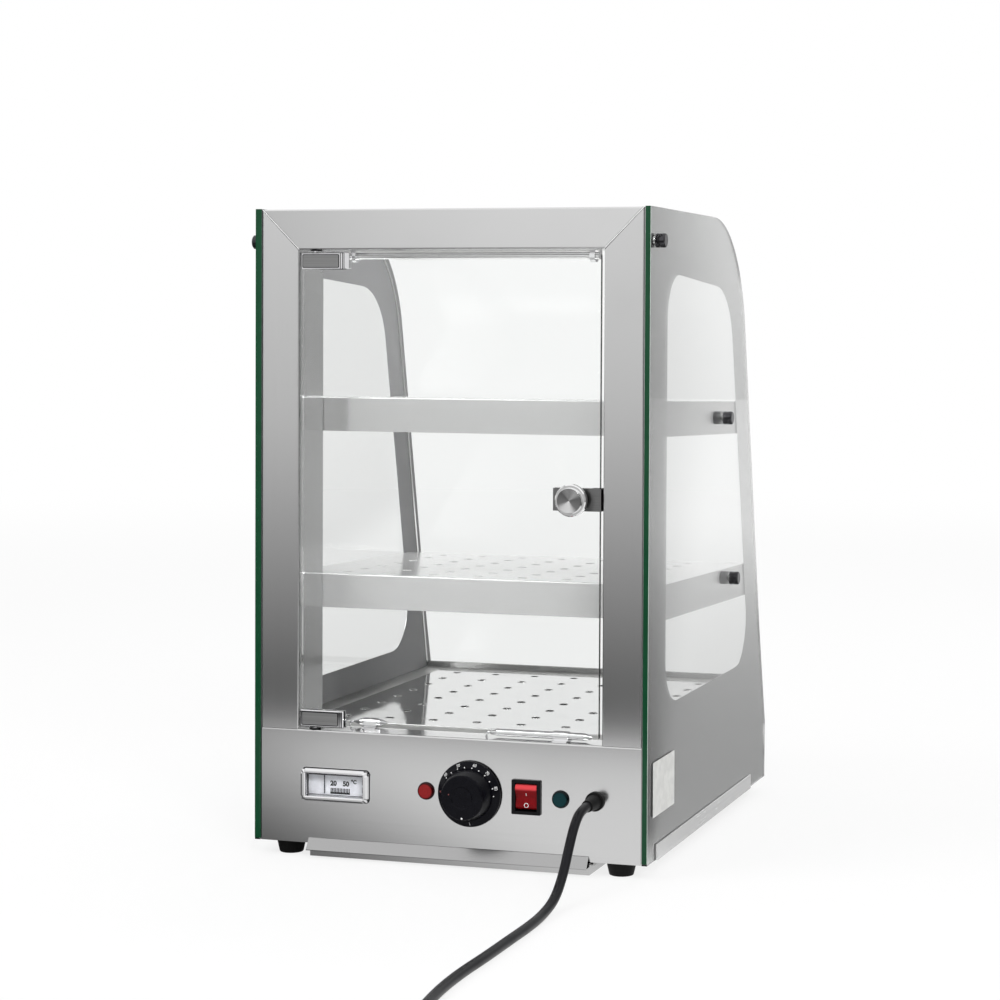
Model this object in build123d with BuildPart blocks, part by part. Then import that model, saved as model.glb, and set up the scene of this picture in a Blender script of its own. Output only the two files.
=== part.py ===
"""Heated display case for a counter top: a steel frame round a glass door, two curved side
glasses, a bent rear glass, two perforated shelves over a heated deck, and a base that holds
the controls, the heater and a pull-out drip tray.

Millimetres, +Z up, the door faces -Y. The origin is under the middle of the case, on the
surface that it stands on. Depths are counted from the front edges of the side glasses.
"""
import os
from math import ceil, cos, floor, hypot, pi, radians, sin, tan

from build123d import *

os.makedirs("parts", exist_ok=True)

# Overall size
case_width = 380.0          # over the outer faces of the side glasses
case_height = 600.0         # top of the side glasses
case_depth = 468.5          # deepest point of the side glasses
sheet = 1.0                 # steel sheet of the frame and base
snug = 0.05                 # radial clearance of pins, shafts and studs in their bores
loose = 0.2                 # radial clearance of screws in sheet
seam = 0.3                  # visible gap between neighbouring sheet pieces
small_edge = 1.0            # rounding of small fittings

# Side glass: a flat top, a round shoulder, a slanting rear edge and a flared foot
glass_thick = 5.0
side_gap = 1.0              # between a side glass and the steel
skin_thick = 0.3            # silver border behind the side glass
shoulder_inset = 130.2      # from the deepest point to where the slant would meet the top edge
shoulder_radius = 135.0
slant = 13.36               # degrees from upright
flare_height = 172.0        # where the rear edge starts to flare
rear_low_height = 72.0      # where it turns upright
rear_low_radius = 18.0
rear_bottom_inset = 1.0

# Window in the silver border
window_front = 63.0
window_bottom = 147.0
window_top_margin = 56.5    # under the top edge, at the front
window_top_slope = 3.2      # degrees, down to the rear
window_rear_margin = 51.0   # from the slanting edge, square to it
window_front_radius = 42.0
window_top_rear_radius = 70.0
window_bottom_rear_radius = 46.0

# Frame of two stiles and a header, each a folded channel
frame_face = 37.0           # width of its face
frame_depth = 59.0          # depth of its returns
frame_setback = 1.0         # steel face behind the glass edges
frame_drop = 0.6            # frame top under the glass top
bend = 1.5                  # outer radius of a fold
header_lip = 6.0
rest_flange = 13.0          # flange under the front edge of the rear glass

# Rear glass, bent in one piece
rear_glass_thick = 5.0
rear_glass_inset = 8.0      # its outer face inside the side glass outline
rear_glass_clear = 0.5      # to the silver border at each side
rear_glass_entry = 11.0     # how far it reaches into the header
channel_height = 6.0
channel_wall = 1.0

# Base
foot_height = 13.0
foot_top_radius = 14.0
foot_bottom_radius = 11.0
foot_inset = 23.0           # foot centre from the steel side
foot_front = 19.0
foot_rear_margin = 25.0
foot_recess_radius = 5.5
foot_recess_depth = 8.0
foot_round = 1.5
panel_height = 105.3
gutter_depth = 30.0         # panel's top flange in front of the deck
base_flange = 14.0
rear_panel_margin = 14.0    # rear panel in front of the deepest point of the glass
rear_flange = 30.0

# Heater tray and deck plate
recess_side = 34.0          # ledge between the steel side and the recess
recess_front = 62.0
recess_rear_gap = 21.0      # ledge at the rear
recess_depth = 25.0
deck_thick = 1.2
deck_side = 26.0            # bare ledge beside the deck plate
deck_front = 54.0
deck_rear_gap = 13.0
hole_pitch = 43.9
hole_radius = 4.0
hole_columns = 7
hole_first = 84.5           # depth of the front row
hole_margin = 12.0          # last row to the rear edge of its plate

# Shelves
shelf_thick = 0.8
shelf_face = 32.5
shelf_slope = 1.6           # degrees, down to the rear
shelf_rear_lip = 12.0
upper_shelf_height = 425.5
lower_shelf_height = 258.0
upper_shelf_rear_gap = 10.2  # from its rear edge to the rear glass at the height of its front
lower_shelf_rear_gap = 22.2
bracket_thick = 1.2
bracket_leg = 20.0
bracket_height = 22.0
bracket_screw_side = 16.0   # screw from the bracket's corner

# Bolts through the side glasses
bolt_head_radius = 6.5
bolt_cap = 4.5
bolt_groove = 1.2
bolt_groove_radius = 5.0
bolt_collar = 3.3
bolt_washer = 0.5
bolt_bevel = 0.8
bolt_radius = 2.5
bolt_length = 14.0          # from the outer glass face inwards
bolt_glass_hole = 3.5
nut_width = 8.0             # across flats
nut_thick = 4.0
top_bolt_depth = 17.3
top_bolt_drop = 30.0        # under the top edge
upper_bolt_along = 212.0    # along its shelf
lower_bolt_along = 243.0
upper_bolt_drop = 16.3      # under its shelf's top face
lower_bolt_drop = 9.8

# Rails that hold the bottom edges of the side glasses, and the bare plate on the right
rail_height = 14.5
rail_front = 31.0
rail_length = 369.0
rail_web = 14.5
plate_width, plate_height, plate_thick = 73.0, 49.6, 0.3
plate_front, plate_bottom = 18.7, 52.6

# Door
door_setback = 3.0          # glass behind the steel face
door_thick = 5.0
door_corner = 2.0
door_gap_left = 2.5
door_gap_right = 4.0         # leaves room for the catch plate
door_gap_top = 4.5
door_gap_bottom = 4.2
clip_width = 43.0
clip_height = 15.6
clip_wall = 1.8
clip_pad = 0.2
clip_bevel = 0.8
pivot_inset = 15.0          # pivot axis from the opening's left edge
pin_radius = 2.5
pin_reach = 6.0
bush_radius = 3.7
bush_flange_radius = 5.5
bush_flange = 1.2
bush_length = 5.5
catch_length = 45.0
catch_height = 20.4
catch_wall = 1.5
catch_centre = 338.0
knob_radius = 14.5
knob_face_radius = 11.0
knob_neck_radius = 7.5
knob_neck = 7.0
knob_taper = 1.5
knob_rim = 7.0
knob_crown = 4.0
knob_dish = 0.8
knob_side = 23.0            # knob axis from the door's free edge
stud_radius = 2.5
stud_head_radius = 4.5
stud_head = 2.5
magnet_width, magnet_depth, magnet_height = 14.0, 10.0, 20.0
magnet_gap = 0.3

# Lamp under the header
lamp_depth = 68.0
lamp_drop = 2.4             # axis under the header
lamp_radius = 5.0
lamp_half = 112.0           # glass only
lamp_cap = 11.5
lamp_cap_radius = 5.5
holder_thick = 5.0
holder_margin = 2.5         # metal round the cap
holder_height = 20.0

# Controls in one row
control_height = 68.1
thermometer_x, red_lamp_x, thermostat_x = -109.0, -20.0, 22.5
switch_x, green_lamp_x, gland_x = 76.6, 108.9, 141.2

bezel_width, bezel_height, bezel_stand, bezel_corner = 66.5, 29.8, 6.5, 4.5
bezel_slope = 2.0           # bevel round its outer edge
bezel_lap = 1.0             # over the edge of the gauge's window
gauge_width, gauge_height, gauge_wall, gauge_depth = 59.6, 24.0, 1.0, 36.0
gauge_pocket = 4.4
gauge_front = 1.2           # body front before the steel face
face_thick = 0.8
lens_thick = 1.2
pointer_width, pointer_height, pointer_thick = 1.0, 17.0, 0.4
pointer_rest = -12.0        # from the middle of the gauge
fit_gap = 0.2               # flat clearance of snap-in pieces

dial_gap = 1.5
dial_skirt = 6.0
dial_cap = 16.0
dial_radius = 30.0
dial_shoulder_radius = 24.4
dial_cap_radius = 23.6
dial_tip_radius = 20.0
dial_round = 2.0
dial_dish_radius = 10.2     # shallow recess in the middle of its face
dial_dish = 0.8
dial_rim_round = 0.5
shaft_radius = 3.0
shaft_in_knob = 14.0
shaft_in_body = 18.0
bushing_radius = 5.0
thermostat_width, thermostat_height, thermostat_depth = 46.0, 42.0, 32.0

switch_width, switch_height, switch_stand = 27.5, 31.5, 2.2
switch_body_width, switch_body_height, switch_body_depth = 25.0, 28.6, 26.0
rocker_width, rocker_half = 20.0, 11.6
rocker_gap = 0.3
rocker_edge, rocker_dip, rocker_round = 0.6, 10.0, 3.5
rocker_tilt = 8.0           # each way from the middle
rocker_pivot = 1.5          # behind the steel face
rocker_nose, rocker_valley, rocker_back = 4.4, 1.8, 3.0
rocker_pocket = 10.2

lamp_lens_radius, lamp_lens_stand, lamp_lens_round = 7.8, 3.6, 2.2
lamp_neck_radius, lamp_neck = 4.5, 7.0
lamp_body_radius, lamp_body_depth = 5.9, 26.0
lamp_nut_radius, lamp_nut = 8.5, 3.0

gland_radius, gland_flange, gland_round = 8.7, 4.0, 1.5
gland_tail, gland_tail_radius, gland_tip_radius = 21.0, 7.0, 5.3
gland_thread_radius, gland_thread = 6.0, 14.0

# Probes that lie on the gutter
probe_radius = 3.5
probe_tip = 7.0
capillary_radius = 1.0
probe_lift = 1.0
thermostat_probe_start, thermostat_probe_length, thermostat_probe_depth = 43.0, 84.0, 18.0
thermometer_probe_start, thermometer_probe_length, thermometer_probe_depth = -97.0, 20.0, 34.0
clip_band = 14.0
clip_foot = 5.0
capillary_bend = 4.0
capillary_run, capillary_rise = 28.0, 9.0        # to their ends over the thermostat and gauge

# Heater
element_radius = 4.0
element_drop = 15.3         # its axis under the ledge
element_half_width = 90.0
element_inner_half = 30.0
element_front = 84.0
element_rear_gap = 24.0
element_bend = 22.0
element_leg = 28.0
element_short_loop = 50.0
support_width, support_half_length = 12.0, 115.0
support_front, support_rear_gap = 80.0, 50.0     # from the ends of the element's loops

# Drip tray and its runners
tray_half = 135.5
tray_front = 3.0
tray_length = 382.0
tray_bottom = 0.6
tray_top = 11.3
tray_sheet = 0.8
tray_flange = 2.5
lip_reach = 8.0             # nose in front of the steel face
lip_low = 8.2
lip_gap = 0.4               # between the nose and the panel
lip_top = 18.0
runner_gap = 0.4
runner_foot = 5.0
runner_length = 380.0

# Lead
cord_radius = 4.25
floor_lift = 0.05
coil_radius = 56.0
coil_pitch = 10.6
coil_layer = 9.2
coil_turns_in = 2           # half turns on the floor
coil_turns_out = 2          # half turns back over them
coil_last_radius = 68.0
coil_centre_depth = -580.0
plug_radius, plug_length = 18.5, 36.0
plug_boot, plug_boot_radius, plug_boot_wall = 34.0, 8.5, 1.2
plug_pin_radius, plug_pin_length, plug_pin_spacing = 2.4, 19.0, 19.0
plug_round = 3.0

# Places worked out from the sizes above
dial_reach = dial_gap + dial_skirt + dial_cap - frame_setback
knob_reach = (knob_neck + knob_rim + knob_crown + catch_wall + clip_pad
              - frame_setback - door_setback)
front_y = (max(dial_reach, knob_reach) - case_depth) / 2


def behind(depth):
    """Y at a depth behind the front edges of the side glasses."""
    return front_y + depth


glass_outer = case_width / 2
glass_inner = glass_outer - glass_thick
steel_half = glass_inner - side_gap
inner_half = steel_half - sheet
opening_half = steel_half - frame_face
steel_face = behind(frame_setback)
frame_back = behind(frame_setback + frame_depth)
frame_top = case_height - frame_drop
header_bottom = frame_top - frame_face
base_z = foot_height
floor_top = base_z + sheet
panel_top = base_z + panel_height
gutter_back = steel_face + gutter_depth
rear_face = behind(case_depth - rear_panel_margin)
rear_flange_front = rear_face - rear_flange
inner_inset = rear_glass_inset + rear_glass_thick
glass_roof_low = case_height - inner_inset
slant_run = tan(radians(slant))
shoulder_depth = case_depth - shoulder_inset
window_top = case_height - window_top_margin
top_bolt_height = case_height - top_bolt_drop
lamp_height = header_bottom - lamp_drop
element_height = panel_top - element_drop
slant_stretch = 1 / cos(radians(slant))


def slant_y(z, inset=0.0):
    """Y of the slanting rear edge at a height, moved in square to itself by an inset."""
    return behind(shoulder_depth) + (case_height - z) * slant_run - inset * slant_stretch


def front_plane(y):
    """Upright plane at a Y, facing the user, with sketch x along X and sketch y along Z."""
    return Plane.XZ.offset(-y)


def side_plane(x):
    """Upright plane at an X, facing +X, with sketch x along Y and sketch y along Z."""
    return Plane.YZ.offset(x)


def save(builder, name):
    """Label a finished piece and write it under its node's name."""
    builder.part.label = name
    export_step(builder.part, f"parts/{name}.step")


def box_between(x0, x1, y0, y1, z0, z1, mode=Mode.ADD):
    """A block between two corners, in the part that is being built."""
    with Locations(((x0 + x1) / 2, (y0 + y1) / 2, (z0 + z1) / 2)):
        Box(x1 - x0, y1 - y0, z1 - z0, mode=mode)


def front_hole(x, z, radius, y0, y1):
    """A round hole along Y between two depths, cut from the part that is being built."""
    with Locations((x, (y0 + y1) / 2, z)):
        Cylinder(radius, y1 - y0, rotation=(90, 0, 0), mode=Mode.SUBTRACT)


def side_hole(y, z, radius, x0, x1):
    """A round hole along X between two places, cut from the part that is being built."""
    with Locations(((x0 + x1) / 2, y, z)):
        Cylinder(radius, x1 - x0, rotation=(0, 90, 0), mode=Mode.SUBTRACT)


def drill_down(x, y, radius, z0, z1):
    """A round hole along Z between two heights, cut from the part that is being built."""
    with Locations((x, y, (z0 + z1) / 2)):
        Cylinder(radius, z1 - z0, mode=Mode.SUBTRACT)


# Feet, screwed to the base pan
foot_x = steel_half - foot_inset
foot_places = [(x, y) for x in (-foot_x, foot_x)
               for y in (behind(foot_front), rear_face - foot_rear_margin)]
screw_radius = 2.0
screw_head_radius = 3.8
screw_head = 2.4
foot_screw_length = 12.0
bracket_screw_length = 7.0

with BuildPart() as feet:
    for foot_place in foot_places:
        with BuildSketch(Plane.XY):
            with Locations(foot_place):
                Circle(foot_bottom_radius)
        with BuildSketch(Plane.XY.offset(foot_height)):
            with Locations(foot_place):
                Circle(foot_top_radius)
        loft()
    fillet(feet.edges().group_by(Axis.Z)[0], foot_round)
    for foot_place in foot_places:
        drill_down(*foot_place, foot_recess_radius, 0, foot_recess_depth)
        drill_down(*foot_place, screw_radius + loose, 0, foot_height)
save(feet, "feet")

# Base pan: floor and two side walls
foot_screws = foot_places
runner_inner = tray_half + tray_flange + runner_gap
with BuildPart() as base_pan:
    with BuildSketch(front_plane(rear_face - sheet)):
        with BuildLine():
            FilletPolyline(
                (-steel_half, panel_top - sheet), (-steel_half, base_z),
                (steel_half, base_z), (steel_half, panel_top - sheet),
                (inner_half, panel_top - sheet), (inner_half, floor_top),
                (-inner_half, floor_top), (-inner_half, panel_top - sheet),
                radius=[0, bend, bend, 0, 0, bend - sheet, bend - sheet, 0], close=True)
        make_face()
    extrude(amount=rear_face - sheet - (steel_face + sheet))
    for screw_place in foot_screws:
        drill_down(*screw_place, screw_radius + loose, base_z, floor_top)
save(base_pan, "base_pan")

# Control panel: face, gutter flange and inner flanges
panel_cuts = {
    "gauge": (thermometer_x, gauge_width + 2 * fit_gap, gauge_height + 2 * fit_gap),
    "switch": (switch_x, switch_body_width + 2 * fit_gap, switch_body_height + 2 * fit_gap),
}
panel_holes = [(red_lamp_x, lamp_body_radius + loose), (green_lamp_x, lamp_body_radius + loose),
               (thermostat_x, bushing_radius + loose), (gland_x, gland_thread_radius + loose)]
pivot_x = -opening_half + pivot_inset
pivot_y = steel_face + door_setback + door_thick / 2
thermostat_capillary = (thermostat_probe_start - probe_tip - capillary_bend,
                        behind(thermostat_probe_depth))
thermometer_capillary = (thermometer_probe_start - probe_tip - capillary_bend,
                         behind(thermometer_probe_depth))
capillary_hole = capillary_radius + 2 * loose
flange_half = inner_half - sheet
with BuildPart() as control_panel:
    with BuildSketch(side_plane(-steel_half)):
        with BuildLine():
            FilletPolyline(
                (steel_face, base_z), (steel_face, panel_top), (gutter_back, panel_top),
                (gutter_back, panel_top - sheet), (steel_face + sheet, panel_top - sheet),
                (steel_face + sheet, base_z),
                radius=[0, bend, 0, 0, 0, 0], close=True)
        make_face()
    extrude(amount=2 * steel_half)
    box_between(-flange_half, flange_half, steel_face + sheet, steel_face + base_flange,
                floor_top, floor_top + sheet)
    for x in (-inner_half, flange_half):
        box_between(x, x + sheet, steel_face + sheet, steel_face + base_flange,
                    floor_top + sheet + seam, panel_top - sheet)
    with BuildSketch(front_plane(steel_face + sheet)):
        for x, width, height in panel_cuts.values():
            with Locations((x, control_height)):
                Rectangle(width, height)
        for x, radius in panel_holes:
            with Locations((x, control_height)):
                Circle(radius)
    extrude(amount=sheet, mode=Mode.SUBTRACT)
    drill_down(pivot_x, pivot_y, bush_radius + snug, panel_top - sheet, panel_top)
    drill_down(*thermostat_capillary, capillary_hole, panel_top - sheet, panel_top)
save(control_panel, "control_panel")

# Rear panel with its flanges
with BuildPart() as rear_panel:
    box_between(-steel_half, steel_half, rear_face - sheet, rear_face, base_z, panel_top)
    box_between(-steel_half, steel_half, rear_flange_front, rear_face, panel_top - sheet, panel_top)
    box_between(-flange_half, flange_half, rear_face - base_flange, rear_face - sheet,
                floor_top, floor_top + sheet)
    for x in (-inner_half, flange_half):
        box_between(x, x + sheet, rear_face - base_flange, rear_face - sheet,
                    floor_top + sheet + seam, panel_top - sheet)
save(rear_panel, "rear_panel")

# Heater tray: the ledge round a recess
ledge_front = gutter_back + seam
ledge_back = rear_flange_front - seam
recess_half = steel_half - recess_side
recess_back = ledge_back - recess_rear_gap
recess_floor = panel_top - recess_depth
terminal_y = behind(element_front)
with BuildPart() as heater_tray:
    box_between(-steel_half, steel_half, ledge_front, ledge_back, panel_top - sheet, panel_top)
    box_between(-recess_half, recess_half, behind(recess_front), recess_back,
                recess_floor - sheet, panel_top)
    box_between(-recess_half + sheet, recess_half - sheet, behind(recess_front) + sheet,
                recess_back - sheet, recess_floor, panel_top, mode=Mode.SUBTRACT)
    for x in (-element_half_width, element_half_width):
        drill_down(x, terminal_y, element_radius + loose, recess_floor - sheet, recess_floor)
    drill_down(*thermometer_capillary, capillary_hole, panel_top - sheet, panel_top)
save(heater_tray, "heater_tray")


def hole_rows(front, back):
    """Y of the rows of holes that fit on a plate between two depths."""
    first = behind(hole_first)
    before = floor((first - front - hole_margin) / hole_pitch)
    after = floor((back - hole_margin - first) / hole_pitch)
    return [first + row * hole_pitch for row in range(-before, after + 1)]


def perforate(front, back, low, high):
    """Cut the grid of round holes through a plate, from one height to another."""
    rows = hole_rows(front, back)
    with Locations((0, (rows[0] + rows[-1]) / 2, (low + high) / 2)):
        with GridLocations(hole_pitch, hole_pitch, hole_columns, len(rows)):
            Cylinder(hole_radius, high - low, mode=Mode.SUBTRACT)


# Deck plate, lying loose over the recess, with its front edge between the stiles
deck_half = steel_half - deck_side
deck_back = ledge_back - deck_rear_gap
deck_top = panel_top + deck_thick
with BuildPart() as deck_plate:
    box_between(-deck_half, deck_half, frame_back + seam, deck_back, panel_top, deck_top)
    box_between(-opening_half + seam, opening_half - seam, behind(deck_front), frame_back + seam,
                panel_top, deck_top)
    perforate(behind(deck_front), deck_back, panel_top, deck_top)
    fillet(deck_plate.edges().filter_by(Axis.X).group_by(Axis.Z)[-1], deck_thick / 2)
save(deck_plate, "deck_plate")

# Stiles: channels open at the back, mitred at the top
mitre_gap = seam / 2


for side, stile_name in ((-1, "left_stile"), (1, "right_stile")):
    with BuildPart() as stile:
        with BuildSketch(Plane.XY.offset(panel_top)):
            with BuildLine():
                FilletPolyline(
                    (side * steel_half, frame_back), (side * steel_half, steel_face),
                    (side * opening_half, steel_face), (side * opening_half, frame_back),
                    (side * (opening_half + sheet), frame_back),
                    (side * (opening_half + sheet), steel_face + sheet),
                    (side * inner_half, steel_face + sheet), (side * inner_half, frame_back),
                    radius=[0, bend, bend, 0, 0, bend - sheet, bend - sheet, 0], close=True)
            make_face()
        extrude(amount=frame_top - panel_top)
        with BuildSketch(front_plane(frame_back)):
            with BuildLine():
                Polyline((side * opening_half, header_bottom - mitre_gap),
                         (side * (steel_half + sheet), frame_top + sheet - mitre_gap),
                         (side * (steel_half + sheet), frame_top + frame_face),
                         (side * opening_half, frame_top + frame_face), close=True)
            make_face()
        extrude(amount=frame_depth, mode=Mode.SUBTRACT)
        wall = sorted((side * inner_half, side * steel_half))
        side_hole(behind(top_bolt_depth), top_bolt_height, bolt_radius + loose, *wall)
        box_between(*wall, frame_back - rear_glass_entry - seam, frame_back,
                    glass_roof_low - seam, frame_top, mode=Mode.SUBTRACT)
    save(stile, stile_name)

# Header: the same channel with a lip down at the back, mitred at both ends
with BuildPart() as header:
    with BuildSketch(side_plane(-steel_half)):
        with BuildLine():
            FilletPolyline(
                (frame_back, header_bottom), (steel_face, header_bottom), (steel_face, frame_top),
                (frame_back, frame_top), (frame_back, frame_top - header_lip),
                (frame_back - sheet, frame_top - header_lip), (frame_back - sheet, frame_top - sheet),
                (steel_face + sheet, frame_top - sheet), (steel_face + sheet, header_bottom + sheet),
                (frame_back, header_bottom + sheet),
                radius=[0, bend, bend, 0, 0, 0, 0, bend - sheet, bend - sheet, 0], close=True)
        make_face()
    extrude(amount=2 * steel_half)
    for side in (-1, 1):
        with BuildSketch(front_plane(frame_back)):
            with BuildLine():
                Polyline((side * opening_half, header_bottom + mitre_gap),
                         (side * (steel_half + sheet), frame_top + sheet + mitre_gap),
                         (side * (steel_half + sheet), header_bottom - frame_face),
                         (side * opening_half, header_bottom - frame_face), close=True)
            make_face()
        extrude(amount=frame_depth, mode=Mode.SUBTRACT)
    drill_down(pivot_x, pivot_y, bush_radius + snug, header_bottom, header_bottom + sheet)
save(header, "header")

# Plate that closes the back of the header and carries the rear glass and the lamp
plate_y = frame_back
with BuildPart() as header_back_plate:
    box_between(-inner_half, inner_half, plate_y, plate_y + sheet, header_bottom, glass_roof_low)
    box_between(-inner_half, inner_half, plate_y + sheet - rest_flange, plate_y + sheet,
                glass_roof_low - sheet, glass_roof_low)
save(header_back_plate, "header_back_plate")


def side_outline():
    """Outline of a side glass, as a closed line on a side plane."""
    FilletPolyline(
        (behind(0), base_z), (behind(0), case_height), (behind(shoulder_depth), case_height),
        (slant_y(flare_height), flare_height), (behind(case_depth), rear_low_height),
        (behind(case_depth - rear_bottom_inset), base_z),
        radius=[0, 0, shoulder_radius, 0, rear_low_radius, 0], close=True)


def window_outline():
    """Outline of the clear window in the silver border, as a closed line on a side plane."""
    top_run = tan(radians(window_top_slope))
    front = behind(window_front)
    # The top line falls from the front, and the rear line runs beside the slant
    rear_at_top = slant_y(window_top, window_rear_margin)
    corner_y = (rear_at_top - front * top_run * slant_run) / (1 - top_run * slant_run)
    corner_z = window_top - (corner_y - front) * top_run
    FilletPolyline(
        (front, window_bottom), (front, window_top), (corner_y, corner_z),
        (slant_y(window_bottom, window_rear_margin), window_bottom),
        radius=[window_front_radius, window_front_radius, window_top_rear_radius,
                window_bottom_rear_radius], close=True)


def shelf_z(front_height, y):
    """Height of a shelf's top face at a Y."""
    return front_height - (y - shelf_front) * tan(radians(shelf_slope))


# Side glasses, their silver borders and the bolts through them
shelf_front = frame_back + bracket_thick
shelf_inner = inner_half
shelf_outer = shelf_inner + shelf_thick
upper_shelf_length = slant_y(upper_shelf_height, inner_inset) - upper_shelf_rear_gap - shelf_front
lower_shelf_length = slant_y(lower_shelf_height, inner_inset) - lower_shelf_rear_gap - shelf_front
upper_bolt_y = shelf_front + upper_bolt_along
lower_bolt_y = shelf_front + lower_bolt_along
bolt_places = [
    (behind(top_bolt_depth), top_bolt_height),
    (upper_bolt_y, shelf_z(upper_shelf_height, upper_bolt_y) - upper_bolt_drop),
    (lower_bolt_y, shelf_z(lower_shelf_height, lower_bolt_y) - lower_bolt_drop),
]
for low, high, glass_name in ((-glass_outer, -glass_inner, "left_side_glass"),
                              (glass_inner, glass_outer, "right_side_glass")):
    with BuildPart() as side_glass:
        with BuildSketch(side_plane(low)):
            with BuildLine():
                side_outline()
            make_face()
            with Locations(*bolt_places):
                Circle(bolt_glass_hole, mode=Mode.SUBTRACT)
        extrude(amount=high - low)
    save(side_glass, glass_name)

with BuildPart() as side_borders:
    for low in (-glass_inner, glass_inner - skin_thick):
        with BuildSketch(side_plane(low)):
            with BuildLine():
                side_outline()
            make_face()
            with BuildSketch(mode=Mode.SUBTRACT):
                with BuildLine():
                    window_outline()
                make_face()
            with Locations(*bolt_places):
                Circle(bolt_glass_hole, mode=Mode.SUBTRACT)
        extrude(amount=skin_thick)
save(side_borders, "side_borders")

bolt_head_start = glass_outer + bolt_washer
bolt_collar_end = bolt_head_start + bolt_collar
bolt_cap_start = bolt_collar_end + bolt_groove
bolt_steps = [(glass_outer - bolt_length, bolt_head_start, bolt_radius),
              (glass_outer, bolt_head_start, bolt_groove_radius),
              (bolt_head_start, bolt_collar_end, bolt_head_radius),
              (bolt_collar_end, bolt_cap_start, bolt_groove_radius),
              (bolt_cap_start, bolt_cap_start + bolt_cap, bolt_head_radius)]
with BuildPart() as side_bolts:
    for bolt_place in bolt_places:
        for start, end, radius in bolt_steps:
            with BuildSketch(side_plane(start)):
                with Locations(bolt_place):
                    Circle(radius)
            extrude(amount=end - start)
    chamfer(side_bolts.edges().group_by(Axis.X)[-1], bolt_bevel)
    mirror(about=Plane.YZ)
save(side_bolts, "side_bolts")

nut_outer_x = inner_half
with BuildPart() as side_bolt_nuts:
    for bolt_place in bolt_places:
        with BuildSketch(side_plane(nut_outer_x - nut_thick)):
            with Locations(bolt_place):
                RegularPolygon(nut_width / 2, 6, major_radius=False)
                Circle(bolt_radius + snug, mode=Mode.SUBTRACT)
        extrude(amount=nut_thick)
    mirror(about=Plane.YZ)
save(side_bolt_nuts, "side_bolt_nuts")

# Rear glass: a flat roof, the round shoulder and the slanting back, in one bent sheet
glass_foot = panel_top + channel_wall
outer_roof = case_height - rear_glass_inset
rear_glass_half = glass_inner - skin_thick - rear_glass_clear
with BuildPart() as rear_glass:
    with BuildSketch(side_plane(-rear_glass_half)):
        with BuildLine():
            FilletPolyline(
                (frame_back - rear_glass_entry, outer_roof),
                (slant_y(outer_roof, rear_glass_inset), outer_roof),
                (slant_y(glass_foot, rear_glass_inset), glass_foot),
                (slant_y(glass_foot, inner_inset), glass_foot),
                (slant_y(glass_roof_low, inner_inset), glass_roof_low),
                (frame_back - rear_glass_entry, glass_roof_low),
                radius=[0, shoulder_radius - rear_glass_inset, 0, 0,
                        shoulder_radius - inner_inset, 0], close=True)
        make_face()
    extrude(amount=2 * rear_glass_half)
save(rear_glass, "rear_glass")

# Channel that holds the foot of the rear glass
leg_out = rear_glass_inset - clip_pad
leg_in = inner_inset + clip_pad
channel_top = panel_top + channel_height
with BuildPart() as rear_glass_channel:
    with BuildSketch(side_plane(-inner_half)):
        with BuildLine():
            Polyline(
                (slant_y(panel_top, leg_out - channel_wall), panel_top),
                (slant_y(channel_top, leg_out - channel_wall), channel_top),
                (slant_y(channel_top, leg_out), channel_top),
                (slant_y(glass_foot, leg_out), glass_foot),
                (slant_y(glass_foot, leg_in), glass_foot),
                (slant_y(channel_top, leg_in), channel_top),
                (slant_y(channel_top, leg_in + channel_wall), channel_top),
                (slant_y(panel_top, leg_in + channel_wall), panel_top), close=True)
        make_face()
    extrude(amount=2 * inner_half)
save(rear_glass_channel, "rear_glass_channel")

# Rails under and beside the bottom edges of the side glasses
rail_inner = glass_outer + sheet - rail_web
with BuildPart() as side_rails:
    with BuildSketch(front_plane(behind(rail_front + rail_length))):
        with BuildLine():
            Polyline((rail_inner, base_z), (rail_inner, base_z - sheet),
                     (glass_outer + sheet, base_z - sheet),
                     (glass_outer + sheet, base_z - sheet + rail_height),
                     (glass_outer, base_z - sheet + rail_height), (glass_outer, base_z), close=True)
        make_face()
    extrude(amount=rail_length)
    mirror(about=Plane.YZ)
save(side_rails, "side_rails")

with BuildPart() as blank_plate:
    box_between(glass_outer, glass_outer + plate_thick, behind(plate_front),
                behind(plate_front + plate_width), plate_bottom, plate_bottom + plate_height)
    fillet(blank_plate.edges().filter_by(Axis.X), small_edge)
save(blank_plate, "blank_plate")

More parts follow.
